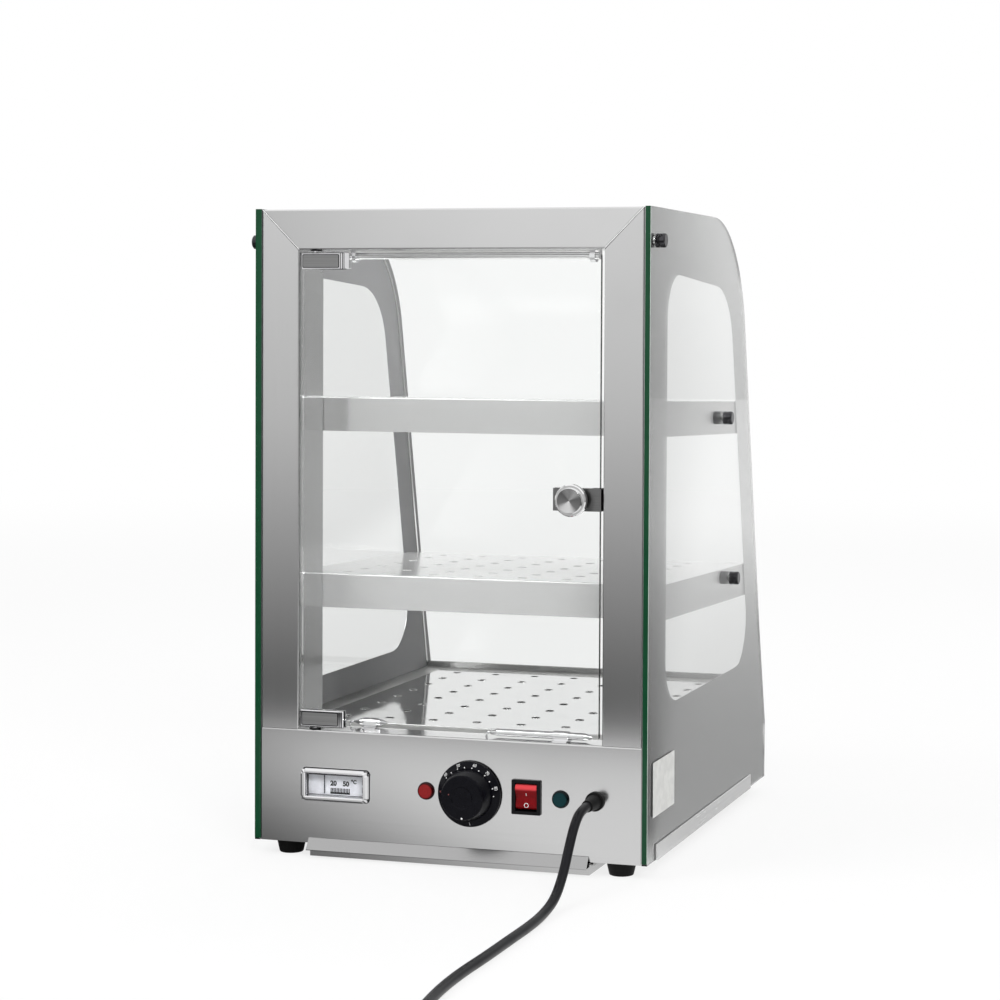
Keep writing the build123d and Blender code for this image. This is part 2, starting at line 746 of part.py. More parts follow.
# Shelves: a perforated top with a front face, side flanges and a short rear lip
for shelf_name, front_height, length in (("upper_shelf", upper_shelf_height, upper_shelf_length),
                                         ("lower_shelf", lower_shelf_height, lower_shelf_length)):
    back = shelf_front + length
    back_z = shelf_z(front_height, back)
    with BuildPart() as shelf:
        with BuildSketch(side_plane(-shelf_outer)):
            with BuildLine():
                FilletPolyline(
                    (shelf_front, front_height - shelf_face), (shelf_front, front_height),
                    (back, back_z), (back, back_z - shelf_rear_lip),
                    (back - shelf_thick, back_z - shelf_rear_lip), (back - shelf_thick, back_z - shelf_thick),
                    (shelf_front + shelf_thick, front_height - shelf_thick),
                    (shelf_front + shelf_thick, front_height - shelf_face),
                    radius=[0, bend, bend, 0, 0, 0, 0, 0], close=True)
            make_face()
        extrude(amount=2 * shelf_outer)
        for x in (-shelf_outer, shelf_inner):
            with BuildSketch(side_plane(x)):
                with BuildLine():
                    Polyline((shelf_front + bend, front_height - shelf_thick / 2),
                             (back - bend, back_z - shelf_thick / 2),
                             (back - bend, back_z - shelf_face), (shelf_front, front_height - shelf_face),
                             (shelf_front, front_height - bend), close=True)
                make_face()
            extrude(amount=shelf_thick)
        perforate(shelf_front, back, back_z - shelf_thick, front_height)
        for bolt_y, bolt_z in bolt_places[1:]:
            if abs(bolt_z - front_height) < shelf_face + length * tan(radians(shelf_slope)):
                side_hole(bolt_y, bolt_z, bolt_radius + loose, -shelf_outer, shelf_outer)
        for side in (-1, 1):
            front_hole(side * (opening_half + sheet + bracket_screw_side), front_height - shelf_face / 2,
                       screw_radius + loose, shelf_front, shelf_front + shelf_thick)
    save(shelf, shelf_name)

# Angle brackets between the stiles and the shelf fronts, and the screws of brackets and feet
bracket_corner = opening_half + sheet
bracket_screw_x = bracket_corner + bracket_screw_side
shelf_screw_heights = [height - shelf_face / 2 for height in (upper_shelf_height, lower_shelf_height)]
with BuildPart() as shelf_brackets:
    for height in shelf_screw_heights:
        low = height - bracket_height / 2
        high = height + bracket_height / 2
        box_between(bracket_corner, bracket_corner + bracket_thick, frame_back - bracket_leg, shelf_front,
                    low, high)
        box_between(bracket_corner, bracket_corner + bracket_leg + bracket_thick, frame_back, shelf_front,
                    low, high)
        front_hole(bracket_screw_x, height, screw_radius + loose, frame_back, shelf_front)
    mirror(about=Plane.YZ)
save(shelf_brackets, "shelf_brackets")

with BuildPart() as frame_screws:
    for screw_place in foot_screws:
        with BuildSketch(Plane.XY.offset(foot_recess_depth - screw_head)):
            with Locations(screw_place):
                Circle(screw_head_radius)
        extrude(amount=screw_head)
        with BuildSketch(Plane.XY.offset(foot_recess_depth)):
            with Locations(screw_place):
                Circle(screw_radius)
        extrude(amount=foot_screw_length)
    for x in (-bracket_screw_x, bracket_screw_x):
        for z in shelf_screw_heights:
            with BuildSketch(front_plane(frame_back)):
                with Locations((x, z)):
                    Circle(screw_head_radius)
            extrude(amount=screw_head)
            with BuildSketch(front_plane(frame_back + bracket_screw_length)):
                with Locations((x, z)):
                    Circle(screw_radius)
            extrude(amount=bracket_screw_length)
save(frame_screws, "frame_screws")

# Door: one sheet of glass in two clips, with pins in flanged bushes
door_front = steel_face + door_setback
door_back = door_front + door_thick
door_left = -opening_half + door_gap_left
door_right = opening_half - door_gap_right
door_bottom = panel_top + door_gap_bottom
door_top = header_bottom - door_gap_top
knob_x = door_right - knob_side
with BuildPart() as door_glass:
    box_between(door_left, door_right, door_front, door_back, door_bottom, door_top)
    front_hole(knob_x, catch_centre, stud_radius + 2 * loose, door_front, door_back)
    fillet(door_glass.edges().filter_by(Axis.Y).filter_by(GeomType.LINE), door_corner)
save(door_glass, "door_glass")

clip_front = door_front - clip_pad - clip_wall
clip_back = door_back + clip_pad + clip_wall
clip_left = door_left - clip_pad - clip_wall / 2
clip_levels = {
    "top_hinge_clip": (door_top + clip_wall - clip_height, door_top + clip_wall),
    "bottom_hinge_clip": (door_bottom - clip_wall, door_bottom - clip_wall + clip_height),
}
for clip_name, (low, high) in clip_levels.items():
    with BuildPart() as hinge_clip:
        box_between(clip_left, clip_left + clip_width, clip_front, clip_back, low, high)
        chamfer(hinge_clip.faces().sort_by(Axis.Y)[0].edges(), clip_bevel)
        box_between(door_left - clip_pad, clip_left + clip_width, door_front - clip_pad,
                    door_back + clip_pad, max(low, door_bottom), min(high, door_top), mode=Mode.SUBTRACT)
    save(hinge_clip, clip_name)

pin_ends = ((door_top + clip_wall, pin_reach), (door_bottom - clip_wall, -pin_reach))
with BuildPart() as hinge_pins:
    for z, reach in pin_ends:
        with BuildSketch(Plane.XY.offset(z)):
            with Locations((pivot_x, pivot_y)):
                Circle(pin_radius)
        extrude(amount=reach)
save(hinge_pins, "hinge_pins")

with BuildPart() as hinge_bushes:
    for z, way in ((header_bottom, 1), (panel_top, -1)):
        with BuildSketch(Plane.XY.offset(z)):
            with Locations((pivot_x, pivot_y)):
                Circle(bush_flange_radius)
                Circle(pin_radius + snug, mode=Mode.SUBTRACT)
        extrude(amount=-way * bush_flange)
        with BuildSketch(Plane.XY.offset(z)):
            with Locations((pivot_x, pivot_y)):
                Circle(bush_radius)
                Circle(pin_radius + snug, mode=Mode.SUBTRACT)
        extrude(amount=way * bush_length)
save(hinge_bushes, "hinge_bushes")

# Catch plate round the free edge of the door, with the knob and the magnet behind it
catch_front = door_front - clip_pad - catch_wall
catch_back = door_back + clip_pad + catch_wall
catch_right = door_right + clip_pad + catch_wall
catch_low = catch_centre - catch_height / 2
catch_high = catch_centre + catch_height / 2
with BuildPart() as door_catch_plate:
    box_between(catch_right - catch_length, catch_right, catch_front, catch_back, catch_low, catch_high)
    box_between(catch_right - catch_length, door_right + clip_pad, door_front - clip_pad,
                door_back + clip_pad, catch_low, catch_high, mode=Mode.SUBTRACT)
    front_hole(knob_x, catch_centre, stud_radius + snug, catch_front, catch_back)
save(door_catch_plate, "door_catch_plate")

knob_axis = Plane(origin=(knob_x, catch_front, catch_centre), x_dir=(1, 0, 0), z_dir=(0, -1, 0))
knob_height = knob_neck + knob_rim + knob_crown
with BuildPart() as door_knob:
    with BuildSketch(Plane(origin=knob_axis.origin, x_dir=(1, 0, 0), z_dir=(0, 0, 1))):
        with BuildLine():
            Polyline((0, 0), (knob_neck_radius, 0), (knob_neck_radius - knob_taper, -knob_neck),
                     (knob_radius - small_edge, -knob_neck), (knob_radius, -knob_neck - small_edge),
                     (knob_radius, -knob_neck - knob_rim + small_edge),
                     (knob_radius - small_edge, -knob_neck - knob_rim),
                     (knob_face_radius + knob_dish, -knob_neck - knob_rim),
                     (knob_face_radius, -knob_height), (0, -knob_height + knob_dish), close=True)
        make_face()
    revolve(axis=Axis(origin=knob_axis.origin, direction=(0, 1, 0)))
    front_hole(knob_x, catch_centre, stud_radius + snug, catch_front - knob_neck, catch_front)
save(door_knob, "door_knob")

with BuildPart() as knob_screw:
    with BuildSketch(front_plane(catch_back + stud_head)):
        with Locations((knob_x, catch_centre)):
            Circle(stud_head_radius)
    extrude(amount=stud_head)
    with BuildSketch(front_plane(catch_back)):
        with Locations((knob_x, catch_centre)):
            Circle(stud_radius)
    extrude(amount=catch_back - catch_front + knob_neck - small_edge)
save(knob_screw, "knob_screw")

magnet_front = catch_back + magnet_gap
with BuildPart() as magnet_catch:
    box_between(opening_half - magnet_width, opening_half, magnet_front, magnet_front + magnet_depth,
                catch_centre - magnet_height / 2, catch_centre + magnet_height / 2)
    fillet(magnet_catch.edges().filter_by(Axis.Z), small_edge)
save(magnet_catch, "magnet_catch")

# Lamp: a glass tube with two end caps, in two holders on the header's back plate
lamp_y = behind(lamp_depth)
with BuildPart() as lamp_tube:
    for start, end, radius in ((-lamp_half - lamp_cap, -lamp_half, lamp_cap_radius),
                               (-lamp_half, lamp_half, lamp_radius),
                               (lamp_half, lamp_half + lamp_cap, lamp_cap_radius)):
        with BuildSketch(side_plane(start)):
            with Locations((lamp_y, lamp_height)):
                Circle(radius)
        extrude(amount=end - start)
save(lamp_tube, "lamp_tube")

holder_reach = lamp_cap_radius + holder_margin
with BuildPart() as lamp_holders:
    for middle in (-lamp_half - lamp_cap / 2, lamp_half + lamp_cap / 2):
        with BuildSketch(side_plane(middle - holder_thick / 2)):
            with Locations((lamp_y, lamp_height)):
                Circle(holder_reach)
            with Locations(((plate_y + sheet + lamp_y) / 2, lamp_height + holder_height / 2)):
                Rectangle(lamp_y - plate_y - sheet, holder_height)
            with Locations((lamp_y, lamp_height)):
                Circle(lamp_cap_radius + snug, mode=Mode.SUBTRACT)
            with Locations((plate_y + sheet - holder_reach, lamp_height)):
                Rectangle(2 * holder_reach, 4 * holder_reach, mode=Mode.SUBTRACT)
        extrude(amount=holder_thick)
save(lamp_holders, "lamp_holders")

# Heating element: one bent rod with two legs down through the tray, on two supports
element_back = recess_back - element_rear_gap
with BuildPart() as heating_element:
    with BuildLine() as element_path:
        FilletPolyline(
            (-element_half_width, terminal_y, element_height - element_leg),
            (-element_half_width, terminal_y, element_height),
            (-element_half_width, element_back, element_height),
            (-element_inner_half, element_back, element_height),
            (-element_inner_half, terminal_y + element_short_loop, element_height),
            (element_inner_half, terminal_y + element_short_loop, element_height),
            (element_inner_half, element_back, element_height),
            (element_half_width, element_back, element_height),
            (element_half_width, terminal_y, element_height),
            (element_half_width, terminal_y, element_height - element_leg),
            radius=[element_radius * 2] + [element_bend] * 6 + [element_radius * 2])
    with BuildSketch(Plane(origin=element_path.line @ 0, z_dir=element_path.line % 0)):
        Circle(element_radius)
    sweep(path=element_path.line)
save(heating_element, "heating_element")

with BuildPart() as element_supports:
    for y in (terminal_y + support_front, element_back - support_rear_gap):
        box_between(-support_half_length, support_half_length, y, y + support_width, recess_floor,
                    element_height - element_radius)
save(element_supports, "element_supports")

# Thermometer: body, scale plate, pointer and lens behind a bright bezel
gauge_y0 = steel_face - gauge_front
pocket_half_x = gauge_width / 2 - gauge_wall
pocket_half_z = gauge_height / 2 - gauge_wall
pocket_back = gauge_y0 + gauge_pocket
with BuildPart() as thermometer_body:
    box_between(thermometer_x - gauge_width / 2, thermometer_x + gauge_width / 2, gauge_y0,
                gauge_y0 + gauge_depth, control_height - gauge_height / 2,
                control_height + gauge_height / 2)
    box_between(thermometer_x - pocket_half_x, thermometer_x + pocket_half_x, gauge_y0, pocket_back,
                control_height - pocket_half_z, control_height + pocket_half_z, mode=Mode.SUBTRACT)
save(thermometer_body, "thermometer_body")

with BuildPart() as thermometer_bezel:
    with BuildSketch(front_plane(steel_face)):
        with Locations((thermometer_x, control_height)):
            bezel_outline = Rectangle(bezel_width, bezel_height)
        chamfer(bezel_outline.vertices(), bezel_corner)
        with Locations((thermometer_x, control_height)):
            Rectangle(gauge_width + 2 * fit_gap, gauge_height + 2 * fit_gap, mode=Mode.SUBTRACT)
    extrude(amount=bezel_stand)
    with BuildSketch(front_plane(gauge_y0)):
        with Locations((thermometer_x, control_height)):
            Rectangle(bezel_width - 2 * small_edge, bezel_height - 2 * small_edge)
            Rectangle(2 * pocket_half_x - bezel_lap, 2 * pocket_half_z - bezel_lap, mode=Mode.SUBTRACT)
    extrude(amount=bezel_stand - gauge_front)
    chamfer(thermometer_bezel.faces().sort_by(Axis.Y)[0].inner_wires()[0].edges(), small_edge)
    chamfer(thermometer_bezel.faces().sort_by(Axis.Y)[0].outer_wire().edges(), bezel_slope)
save(thermometer_bezel, "thermometer_bezel")

with BuildPart() as thermometer_face:
    box_between(thermometer_x - pocket_half_x + fit_gap, thermometer_x + pocket_half_x - fit_gap,
                pocket_back - face_thick, pocket_back, control_height - pocket_half_z + fit_gap,
                control_height + pocket_half_z - fit_gap)
save(thermometer_face, "thermometer_face")

with BuildPart() as thermometer_lens:
    box_between(thermometer_x - pocket_half_x + fit_gap, thermometer_x + pocket_half_x - fit_gap,
                gauge_y0, gauge_y0 + lens_thick, control_height - pocket_half_z + fit_gap,
                control_height + pocket_half_z - fit_gap)
save(thermometer_lens, "thermometer_lens")

pointer_x = thermometer_x + pointer_rest
pointer_back = pocket_back - face_thick - 2 * fit_gap
with BuildPart() as thermometer_pointer:
    box_between(pointer_x - pointer_width / 2, pointer_x + pointer_width / 2,
                pointer_back - pointer_thick, pointer_back, control_height - pointer_height / 2,
                control_height + pointer_height / 2)
save(thermometer_pointer, "thermometer_pointer")

# Thermostat: body with a bushing through the panel, a shaft and the dial
panel_back = steel_face + sheet
with BuildPart() as thermostat_body:
    box_between(thermostat_x - thermostat_width / 2, thermostat_x + thermostat_width / 2, panel_back,
                panel_back + thermostat_depth, control_height - thermostat_height / 2,
                control_height + thermostat_height / 2)
    with BuildSketch(front_plane(panel_back)):
        with Locations((thermostat_x, control_height)):
            Circle(bushing_radius)
    extrude(amount=sheet)
    front_hole(thermostat_x, control_height, shaft_radius + snug, steel_face,
               steel_face + shaft_in_body + sheet)
save(thermostat_body, "thermostat_body")

dial_back = steel_face - dial_gap
with BuildPart() as thermostat_knob:
    with BuildSketch(Plane(origin=(thermostat_x, dial_back, control_height), x_dir=(1, 0, 0),
                           z_dir=(0, 0, 1))):
        with BuildLine():
            FilletPolyline(
                (0, 0), (dial_radius, 0), (dial_radius, -dial_skirt / 3),
                (dial_shoulder_radius, -dial_skirt), (dial_cap_radius, -dial_skirt),
                (dial_tip_radius, -dial_skirt - dial_cap),
                (dial_dish_radius, -dial_skirt - dial_cap),
                (dial_dish_radius - dial_dish, -dial_skirt - dial_cap + dial_dish),
                (0, -dial_skirt - dial_cap + dial_dish),
                radius=[0, dial_rim_round, 2 * dial_rim_round, 0, 0, dial_round, 0, 0, 0],
                close=True)
        make_face()
    revolve(axis=Axis(origin=(thermostat_x, 0, control_height), direction=(0, 1, 0)))
    front_hole(thermostat_x, control_height, shaft_radius + snug, dial_back - shaft_in_knob, dial_back)
save(thermostat_knob, "thermostat_knob")

with BuildPart() as thermostat_shaft:
    with BuildSketch(front_plane(steel_face + shaft_in_body)):
        with Locations((thermostat_x, control_height)):
            Circle(shaft_radius)
    extrude(amount=shaft_in_body + dial_gap + shaft_in_knob - snug)
save(thermostat_shaft, "thermostat_shaft")

# Mains switch: a bezel and body, and the rocker on a cross axis
rocker_y = steel_face + rocker_pivot
pocket_half = hypot(rocker_nose, rocker_half) + rocker_gap
with BuildPart() as switch_housing:
    box_between(switch_x - switch_width / 2, switch_x + switch_width / 2, steel_face - switch_stand,
                steel_face, control_height - switch_height / 2, control_height + switch_height / 2)
    fillet(switch_housing.edges().filter_by(Axis.Y), small_edge)
    box_between(switch_x - switch_body_width / 2, switch_x + switch_body_width / 2, steel_face,
                steel_face + switch_body_depth, control_height - switch_body_height / 2,
                control_height + switch_body_height / 2)
    box_between(switch_x - rocker_width / 2 - rocker_gap, switch_x + rocker_width / 2 + rocker_gap,
                steel_face - switch_stand, steel_face - switch_stand + rocker_pocket,
                control_height - pocket_half, control_height + pocket_half, mode=Mode.SUBTRACT)
save(switch_housing, "switch_housing")

with BuildPart() as switch_rocker:
    with BuildSketch(Plane(origin=(switch_x - rocker_width / 2, rocker_y, control_height),
                           x_dir=(0, cos(radians(rocker_tilt)), sin(radians(rocker_tilt))),
                           z_dir=(1, 0, 0))):
        with BuildLine():
            FilletPolyline(
                (-rocker_nose, rocker_half), (-rocker_valley, 0), (-rocker_nose, -rocker_half),
                (rocker_back, -rocker_half), (rocker_back, rocker_half),
                radius=[rocker_round, rocker_dip, rocker_round, rocker_edge, rocker_edge], close=True)
        make_face()
    extrude(amount=rocker_width)
save(switch_rocker, "switch_rocker")

# Indicator lamps: coloured lenses in black bodies
for lens_name, x in (("red_lamp_lens", red_lamp_x), ("green_lamp_lens", green_lamp_x)):
    with BuildPart() as lamp_lens:
        with BuildSketch(front_plane(steel_face)):
            with Locations((x, control_height)):
                Circle(lamp_lens_radius)
        extrude(amount=lamp_lens_stand)
        fillet(lamp_lens.edges().group_by(Axis.Y)[0], lamp_lens_round)
        with BuildSketch(front_plane(steel_face + lamp_neck)):
            with Locations((x, control_height)):
                Circle(lamp_neck_radius)
        extrude(amount=lamp_neck)
    save(lamp_lens, lens_name)

with BuildPart() as lamp_bodies:
    for x in (red_lamp_x, green_lamp_x):
        with BuildSketch(front_plane(steel_face + lamp_body_depth)):
            with Locations((x, control_height)):
                Circle(lamp_body_radius)
        extrude(amount=lamp_body_depth)
        with BuildSketch(front_plane(panel_back + lamp_nut)):
            with Locations((x, control_height)):
                RegularPolygon(lamp_nut_radius, 6, major_radius=False)
        extrude(amount=lamp_nut)
        front_hole(x, control_height, lamp_neck_radius + snug, steel_face,
                   steel_face + lamp_neck + snug)
save(lamp_bodies, "lamp_bodies")

# Probes on the gutter: a bulb, and a capillary that goes down through the sheet to its body
bulb_z = panel_top + probe_lift + probe_radius


def probe(name, start, length, y, hole, end):
    """A bulb along X with pointed ends and one capillary from its left end to a body below."""
    with BuildPart() as bulb:
        with BuildSketch(Plane(origin=(start, y, bulb_z), x_dir=(1, 0, 0), z_dir=(0, -1, 0))):
            with BuildLine():
                Polyline((-probe_tip, 0), (-probe_tip, capillary_radius), (0, probe_radius),
                         (length, probe_radius), (length + probe_tip, capillary_radius),
                         (length + probe_tip, 0), close=True)
            make_face()
        revolve(axis=Axis(origin=(start, y, bulb_z), direction=(1, 0, 0)))
        with BuildLine() as capillary:
            FilletPolyline((start - probe_tip, y, bulb_z), (hole[0], y, bulb_z),
                           (hole[0], y, end[2]), end, radius=[capillary_bend * 0.9, capillary_bend])
        with BuildSketch(Plane(origin=capillary.line @ 0, z_dir=capillary.line % 0)):
            Circle(capillary_radius)
        sweep(path=capillary.line)
    save(bulb, name)


thermostat_drop = (thermostat_capillary[0], behind(thermostat_probe_depth) + capillary_run,
                   control_height + thermostat_height / 2 + capillary_rise)
probe("thermostat_probe", thermostat_probe_start, thermostat_probe_length,
      behind(thermostat_probe_depth), thermostat_capillary, thermostat_drop)
thermometer_drop = (thermometer_capillary[0] + capillary_run / 2, behind(thermometer_probe_depth),
                    control_height + gauge_height / 2 + capillary_rise)
probe("thermometer_probe", thermometer_probe_start, thermometer_probe_length,
      behind(thermometer_probe_depth), thermometer_capillary, thermometer_drop)

# Saddle clips that hold the bulbs down
clip_places = ((thermostat_probe_start + 0.65 * thermostat_probe_length, behind(thermostat_probe_depth)),
               (thermometer_probe_start + 3, behind(thermometer_probe_depth)))
with BuildPart() as probe_clips:
    for x, y in clip_places:
        with BuildSketch(side_plane(x)):
            with Locations((y, bulb_z)):
                Circle(probe_radius + sheet)
            with Locations((y, (panel_top + bulb_z) / 2)):
                Rectangle(2 * (probe_radius + sheet), bulb_z - panel_top)
            with Locations((y, panel_top + sheet / 2)):
                Rectangle(2 * (probe_radius + sheet + clip_foot), sheet)
            with Locations((y, bulb_z)):
                Circle(probe_radius + snug, mode=Mode.SUBTRACT)
        extrude(amount=clip_band)
save(probe_clips, "probe_clips")

# Terminal block and wiring inside the base
block_x, block_y = 120.0, behind(60.0)
block_width, block_depth, block_height = 44.0, 18.0, 20.0
with BuildPart() as terminal_block:
    box_between(block_x - block_width / 2, block_x + block_width / 2, block_y, block_y + block_depth,
                floor_top, floor_top + block_height)
    with BuildSketch(Plane.XY.offset(floor_top + block_height)):
        with Locations((block_x, block_y + block_depth / 2)):
            with GridLocations(block_width / 4, 1, 4, 1):
                Circle(2.5)
    extrude(amount=-5.0, mode=Mode.SUBTRACT)
save(terminal_block, "terminal_block")

wire_radius = 1.3
wire_bend = 9.0
inner_face = steel_face + gland_thread
wire_routes = [
    # Lead in from the gland
    [(gland_x, inner_face, control_height), (gland_x, block_y - 14, control_height),
     (gland_x, block_y - 14, floor_top + 12), (gland_x, block_y, floor_top + 12)],
    # Switch, green lamp, red lamp and thermostat down to the block
    [(switch_x, steel_face + switch_body_depth, control_height),
     (switch_x, block_y - 8, control_height), (switch_x, block_y - 8, floor_top + 24),
     (block_x - 16, block_y - 8, floor_top + 24), (block_x - 16, block_y - 8, floor_top + 8),
     (block_x - 16, block_y, floor_top + 8)],
    [(green_lamp_x, steel_face + lamp_body_depth, control_height),
     (green_lamp_x, block_y - 14, control_height), (green_lamp_x, block_y - 14, floor_top + 13),
     (green_lamp_x, block_y, floor_top + 13)],
    [(red_lamp_x, steel_face + lamp_body_depth, control_height),
     (red_lamp_x, block_y - 10, control_height), (red_lamp_x, block_y - 10, floor_top + 14),
     (red_lamp_x, block_y + 6, floor_top + 14), (block_x - block_width / 2, block_y + 6, floor_top + 14)],
    # Element legs to the block
    [(element_half_width, terminal_y, element_height - element_leg),
     (element_half_width, terminal_y, floor_top + 32), (element_half_width, terminal_y + 22, floor_top + 32),
     (block_x, terminal_y + 22, floor_top + 32), (block_x, terminal_y + 22, floor_top + 10),
     (block_x, block_y + block_depth, floor_top + 10)],
    [(-element_half_width, terminal_y, element_height - element_leg),
     (-element_half_width, terminal_y, floor_top + 6),
     (block_x + 14, terminal_y, floor_top + 6), (block_x + 14, block_y + block_depth, floor_top + 6)],
]
with BuildPart() as wiring:
    for route in wire_routes:
        runs = [hypot(*(b[i] - a[i] for i in range(3))) for a, b in zip(route, route[1:])]
        radii = [min(wire_bend, 0.45 * min(pair)) for pair in zip(runs, runs[1:])]
        with BuildLine() as wire_path:
            FilletPolyline(*route, radius=radii)
        with BuildSketch(Plane(origin=wire_path.line @ 0, z_dir=wire_path.line % 0)):
            Circle(wire_radius)
        sweep(path=wire_path.line)
save(wiring, "wiring")

# Drip tray: a shallow pan with a slanting nose, sliding out to the front
tray_y0 = behind(tray_front)
tray_y1 = tray_y0 + tray_length
with BuildPart() as drip_tray:
    box_between(-tray_half, tray_half, tray_y0, tray_y1, tray_bottom, tray_top)
    box_between(-tray_half + tray_sheet, tray_half - tray_sheet, tray_y0 + tray_sheet,
                tray_y1 - tray_sheet, tray_bottom + tray_sheet, tray_top, mode=Mode.SUBTRACT)
    for x0, x1 in ((-tray_half - tray_flange, -tray_half), (tray_half, tray_half + tray_flange)):
        box_between(x0, x1, tray_y0 + bend, tray_y1, tray_top - tray_sheet, tray_top)
    with BuildSketch(side_plane(-tray_half)):
        nose = steel_face - lip_reach
        with BuildLine():
            Polyline((tray_y0 + tray_sheet, lip_low), (tray_y0 + tray_sheet, lip_low - tray_sheet),
                     (nose, lip_low - tray_sheet), (nose - tray_sheet / 2, lip_low),
                     (steel_face - lip_gap - tray_sheet, lip_top),
                     (steel_face - lip_gap, lip_top - tray_sheet), (nose + tray_sheet, lip_low),
                     close=True)
        make_face()
    extrude(amount=2 * tray_half)
save(drip_tray, "drip_tray")

runner_low = tray_top - tray_sheet - runner_gap - tray_sheet
with BuildPart() as tray_runners:
    with BuildSketch(front_plane(tray_y0 + tray_flange + runner_length)):
        with BuildLine():
            lip_edge = tray_half + runner_gap
            Polyline((lip_edge, runner_low), (runner_inner + tray_sheet, runner_low),
                     (runner_inner + tray_sheet, base_z - tray_sheet),
                     (runner_inner + runner_foot, base_z - tray_sheet),
                     (runner_inner + runner_foot, base_z), (runner_inner, base_z),
                     (runner_inner, runner_low + tray_sheet), (lip_edge, runner_low + tray_sheet),
                     close=True)
        make_face()
    extrude(amount=runner_length)
    mirror(about=Plane.YZ)
save(tray_runners, "tray_runners")

# Gland, with a tapered tail that the lead leaves from
gland_face = steel_face - gland_flange
gland_tip = gland_face - gland_tail
with BuildPart() as cord_gland:
    with BuildSketch(front_plane(steel_face)):
        with Locations((gland_x, control_height)):
            Circle(gland_radius)
    extrude(amount=gland_flange)
    fillet(cord_gland.edges().group_by(Axis.Y)[0], gland_round)
    with BuildSketch(front_plane(gland_face)):
        with Locations((gland_x, control_height)):
            Circle(gland_tail_radius)
    with BuildSketch(front_plane(gland_tip)):
        with Locations((gland_x, control_height)):
            Circle(gland_tip_radius)
    loft()
    with BuildSketch(front_plane(inner_face)):
        with Locations((gland_x, control_height)):
            Circle(gland_thread_radius)
    extrude(amount=gland_thread)
save(cord_gland, "cord_gland")

# Lead: straight out of the gland, down in one easy curve to the floor, and forward along it
cord_floor = cord_radius + floor_lift
coil_x = 112.0
coil_y = behind(coil_centre_depth)
entry_x = coil_x + coil_radius
entry_y = coil_y + 2 * cord_radius
cord_points = [
    (gland_x, gland_tip, control_height),
    (gland_x, gland_tip - 19, control_height),
    (gland_x + 0.4, gland_tip - 38, control_height - 8.5),
    (gland_x + 1.2, gland_tip - 56, control_height - 24),
    (gland_x + 2.4, gland_tip - 77, control_height - 44.5),
    (gland_x + 4.2, gland_tip - 106, cord_floor + 4.5),
    (gland_x + 5.6, gland_tip - 144, cord_floor),
    (gland_x + 7.0, gland_tip - 184, cord_floor),
    (gland_x + 6.0, gland_tip - 232, cord_floor),
    (gland_x + 5.4, gland_tip - 284, cord_floor),
    (gland_x + 3.4, gland_tip - 336, cord_floor),
    (gland_x + 4.4, gland_tip - 382, cord_floor),
    (gland_x + 9.0, gland_tip - 430, cord_floor),
    (gland_x + 15.5, gland_tip - 470, cord_floor),
    (entry_x, entry_y + 40, cord_floor),
    (entry_x, entry_y, cord_floor),
]


def cord_radii(points):
    """Bend radius at each corner of a route: 0.45 of its shorter run over tan(half turn)."""
    found = []
    for before, here, after in zip(points, points[1:], points[2:]):
        run_in = Vector(*here) - Vector(*before)
        run_out = Vector(*after) - Vector(*here)
        turn = radians(run_in.get_angle(run_out))
        found.append(0.45 * min(run_in.length, run_out.length) / tan(turn / 2))
    return found


cord_bends = cord_radii(cord_points)
print("cord bend radii", [round(radius) for radius in cord_bends])
with BuildPart() as power_cord:
    with BuildLine() as cord_path:
        FilletPolyline(*cord_points, radius=cord_bends)
    with BuildSketch(Plane(origin=cord_path.line @ 0, z_dir=cord_path.line % 0)):
        Circle(cord_radius)
    sweep(path=cord_path.line)
save(power_cord, "power_cord")
cord_length = cord_path.wire().length
cord_ratio = power_cord.part.volume / (pi * cord_radius**2 * cord_length)
print("cord length", round(cord_length), "volume against section times length",
      round(cord_ratio, 4))

# Coil of the length that isn't laid out: half turns in on the floor, then out on top of them
coil_radii = [coil_radius - coil_pitch / 2 * k for k in range(coil_turns_in + 1)]
coil_radii += [coil_radii[-1] + coil_pitch / 2 * k for k in range(coil_turns_out + 1)]
coil_radii.append(coil_last_radius)
plug_axis_z = plug_radius + floor_lift
coil_heights = [cord_floor] * (coil_turns_in + 1) + [cord_floor + coil_layer] * (coil_turns_out + 1)
coil_heights.append(plug_axis_z)
coil_ends = [(coil_x + (radius if k % 2 == 0 else -radius), coil_y, height)
             for k, (radius, height) in enumerate(zip(coil_radii, coil_heights))]
with BuildPart() as cord_coil:
    with BuildLine() as coil_path:
        Line((entry_x, entry_y, cord_floor), coil_ends[0])
        heading = Vector(0, -1, 0)
        for start, end in zip(coil_ends, coil_ends[1:]):
            half = (Vector(*end) - Vector(*start)).length / 2
            middle = (Vector(*start) + Vector(*end)) / 2 + heading * half
            quarter = TangentArc(start, middle, tangent=heading)
            TangentArc(middle, end, tangent=quarter % 1)
            heading = heading * -1
        coil_tail = (coil_ends[-1][0], coil_y - 2 * cord_radius, plug_axis_z)
        Line(coil_ends[-1], coil_tail)
    with BuildSketch(Plane(origin=coil_path.line @ 0, z_dir=coil_path.line % 0)):
        Circle(cord_radius)
    sweep(path=coil_path.line)
save(cord_coil, "cord_coil")


def least_gap(wire, radius):
    """Least gap of a wound tube to itself, measured on points along its centre line."""
    count = ceil(wire.length / 3)
    step = wire.length / count
    points = [wire @ (k / count) for k in range(count + 1)]
    apart = ceil(4 * pi * radius / step)
    return min((points[i] - points[j]).length - 2 * radius
               for i in range(len(points)) for j in range(i + apart, len(points)))


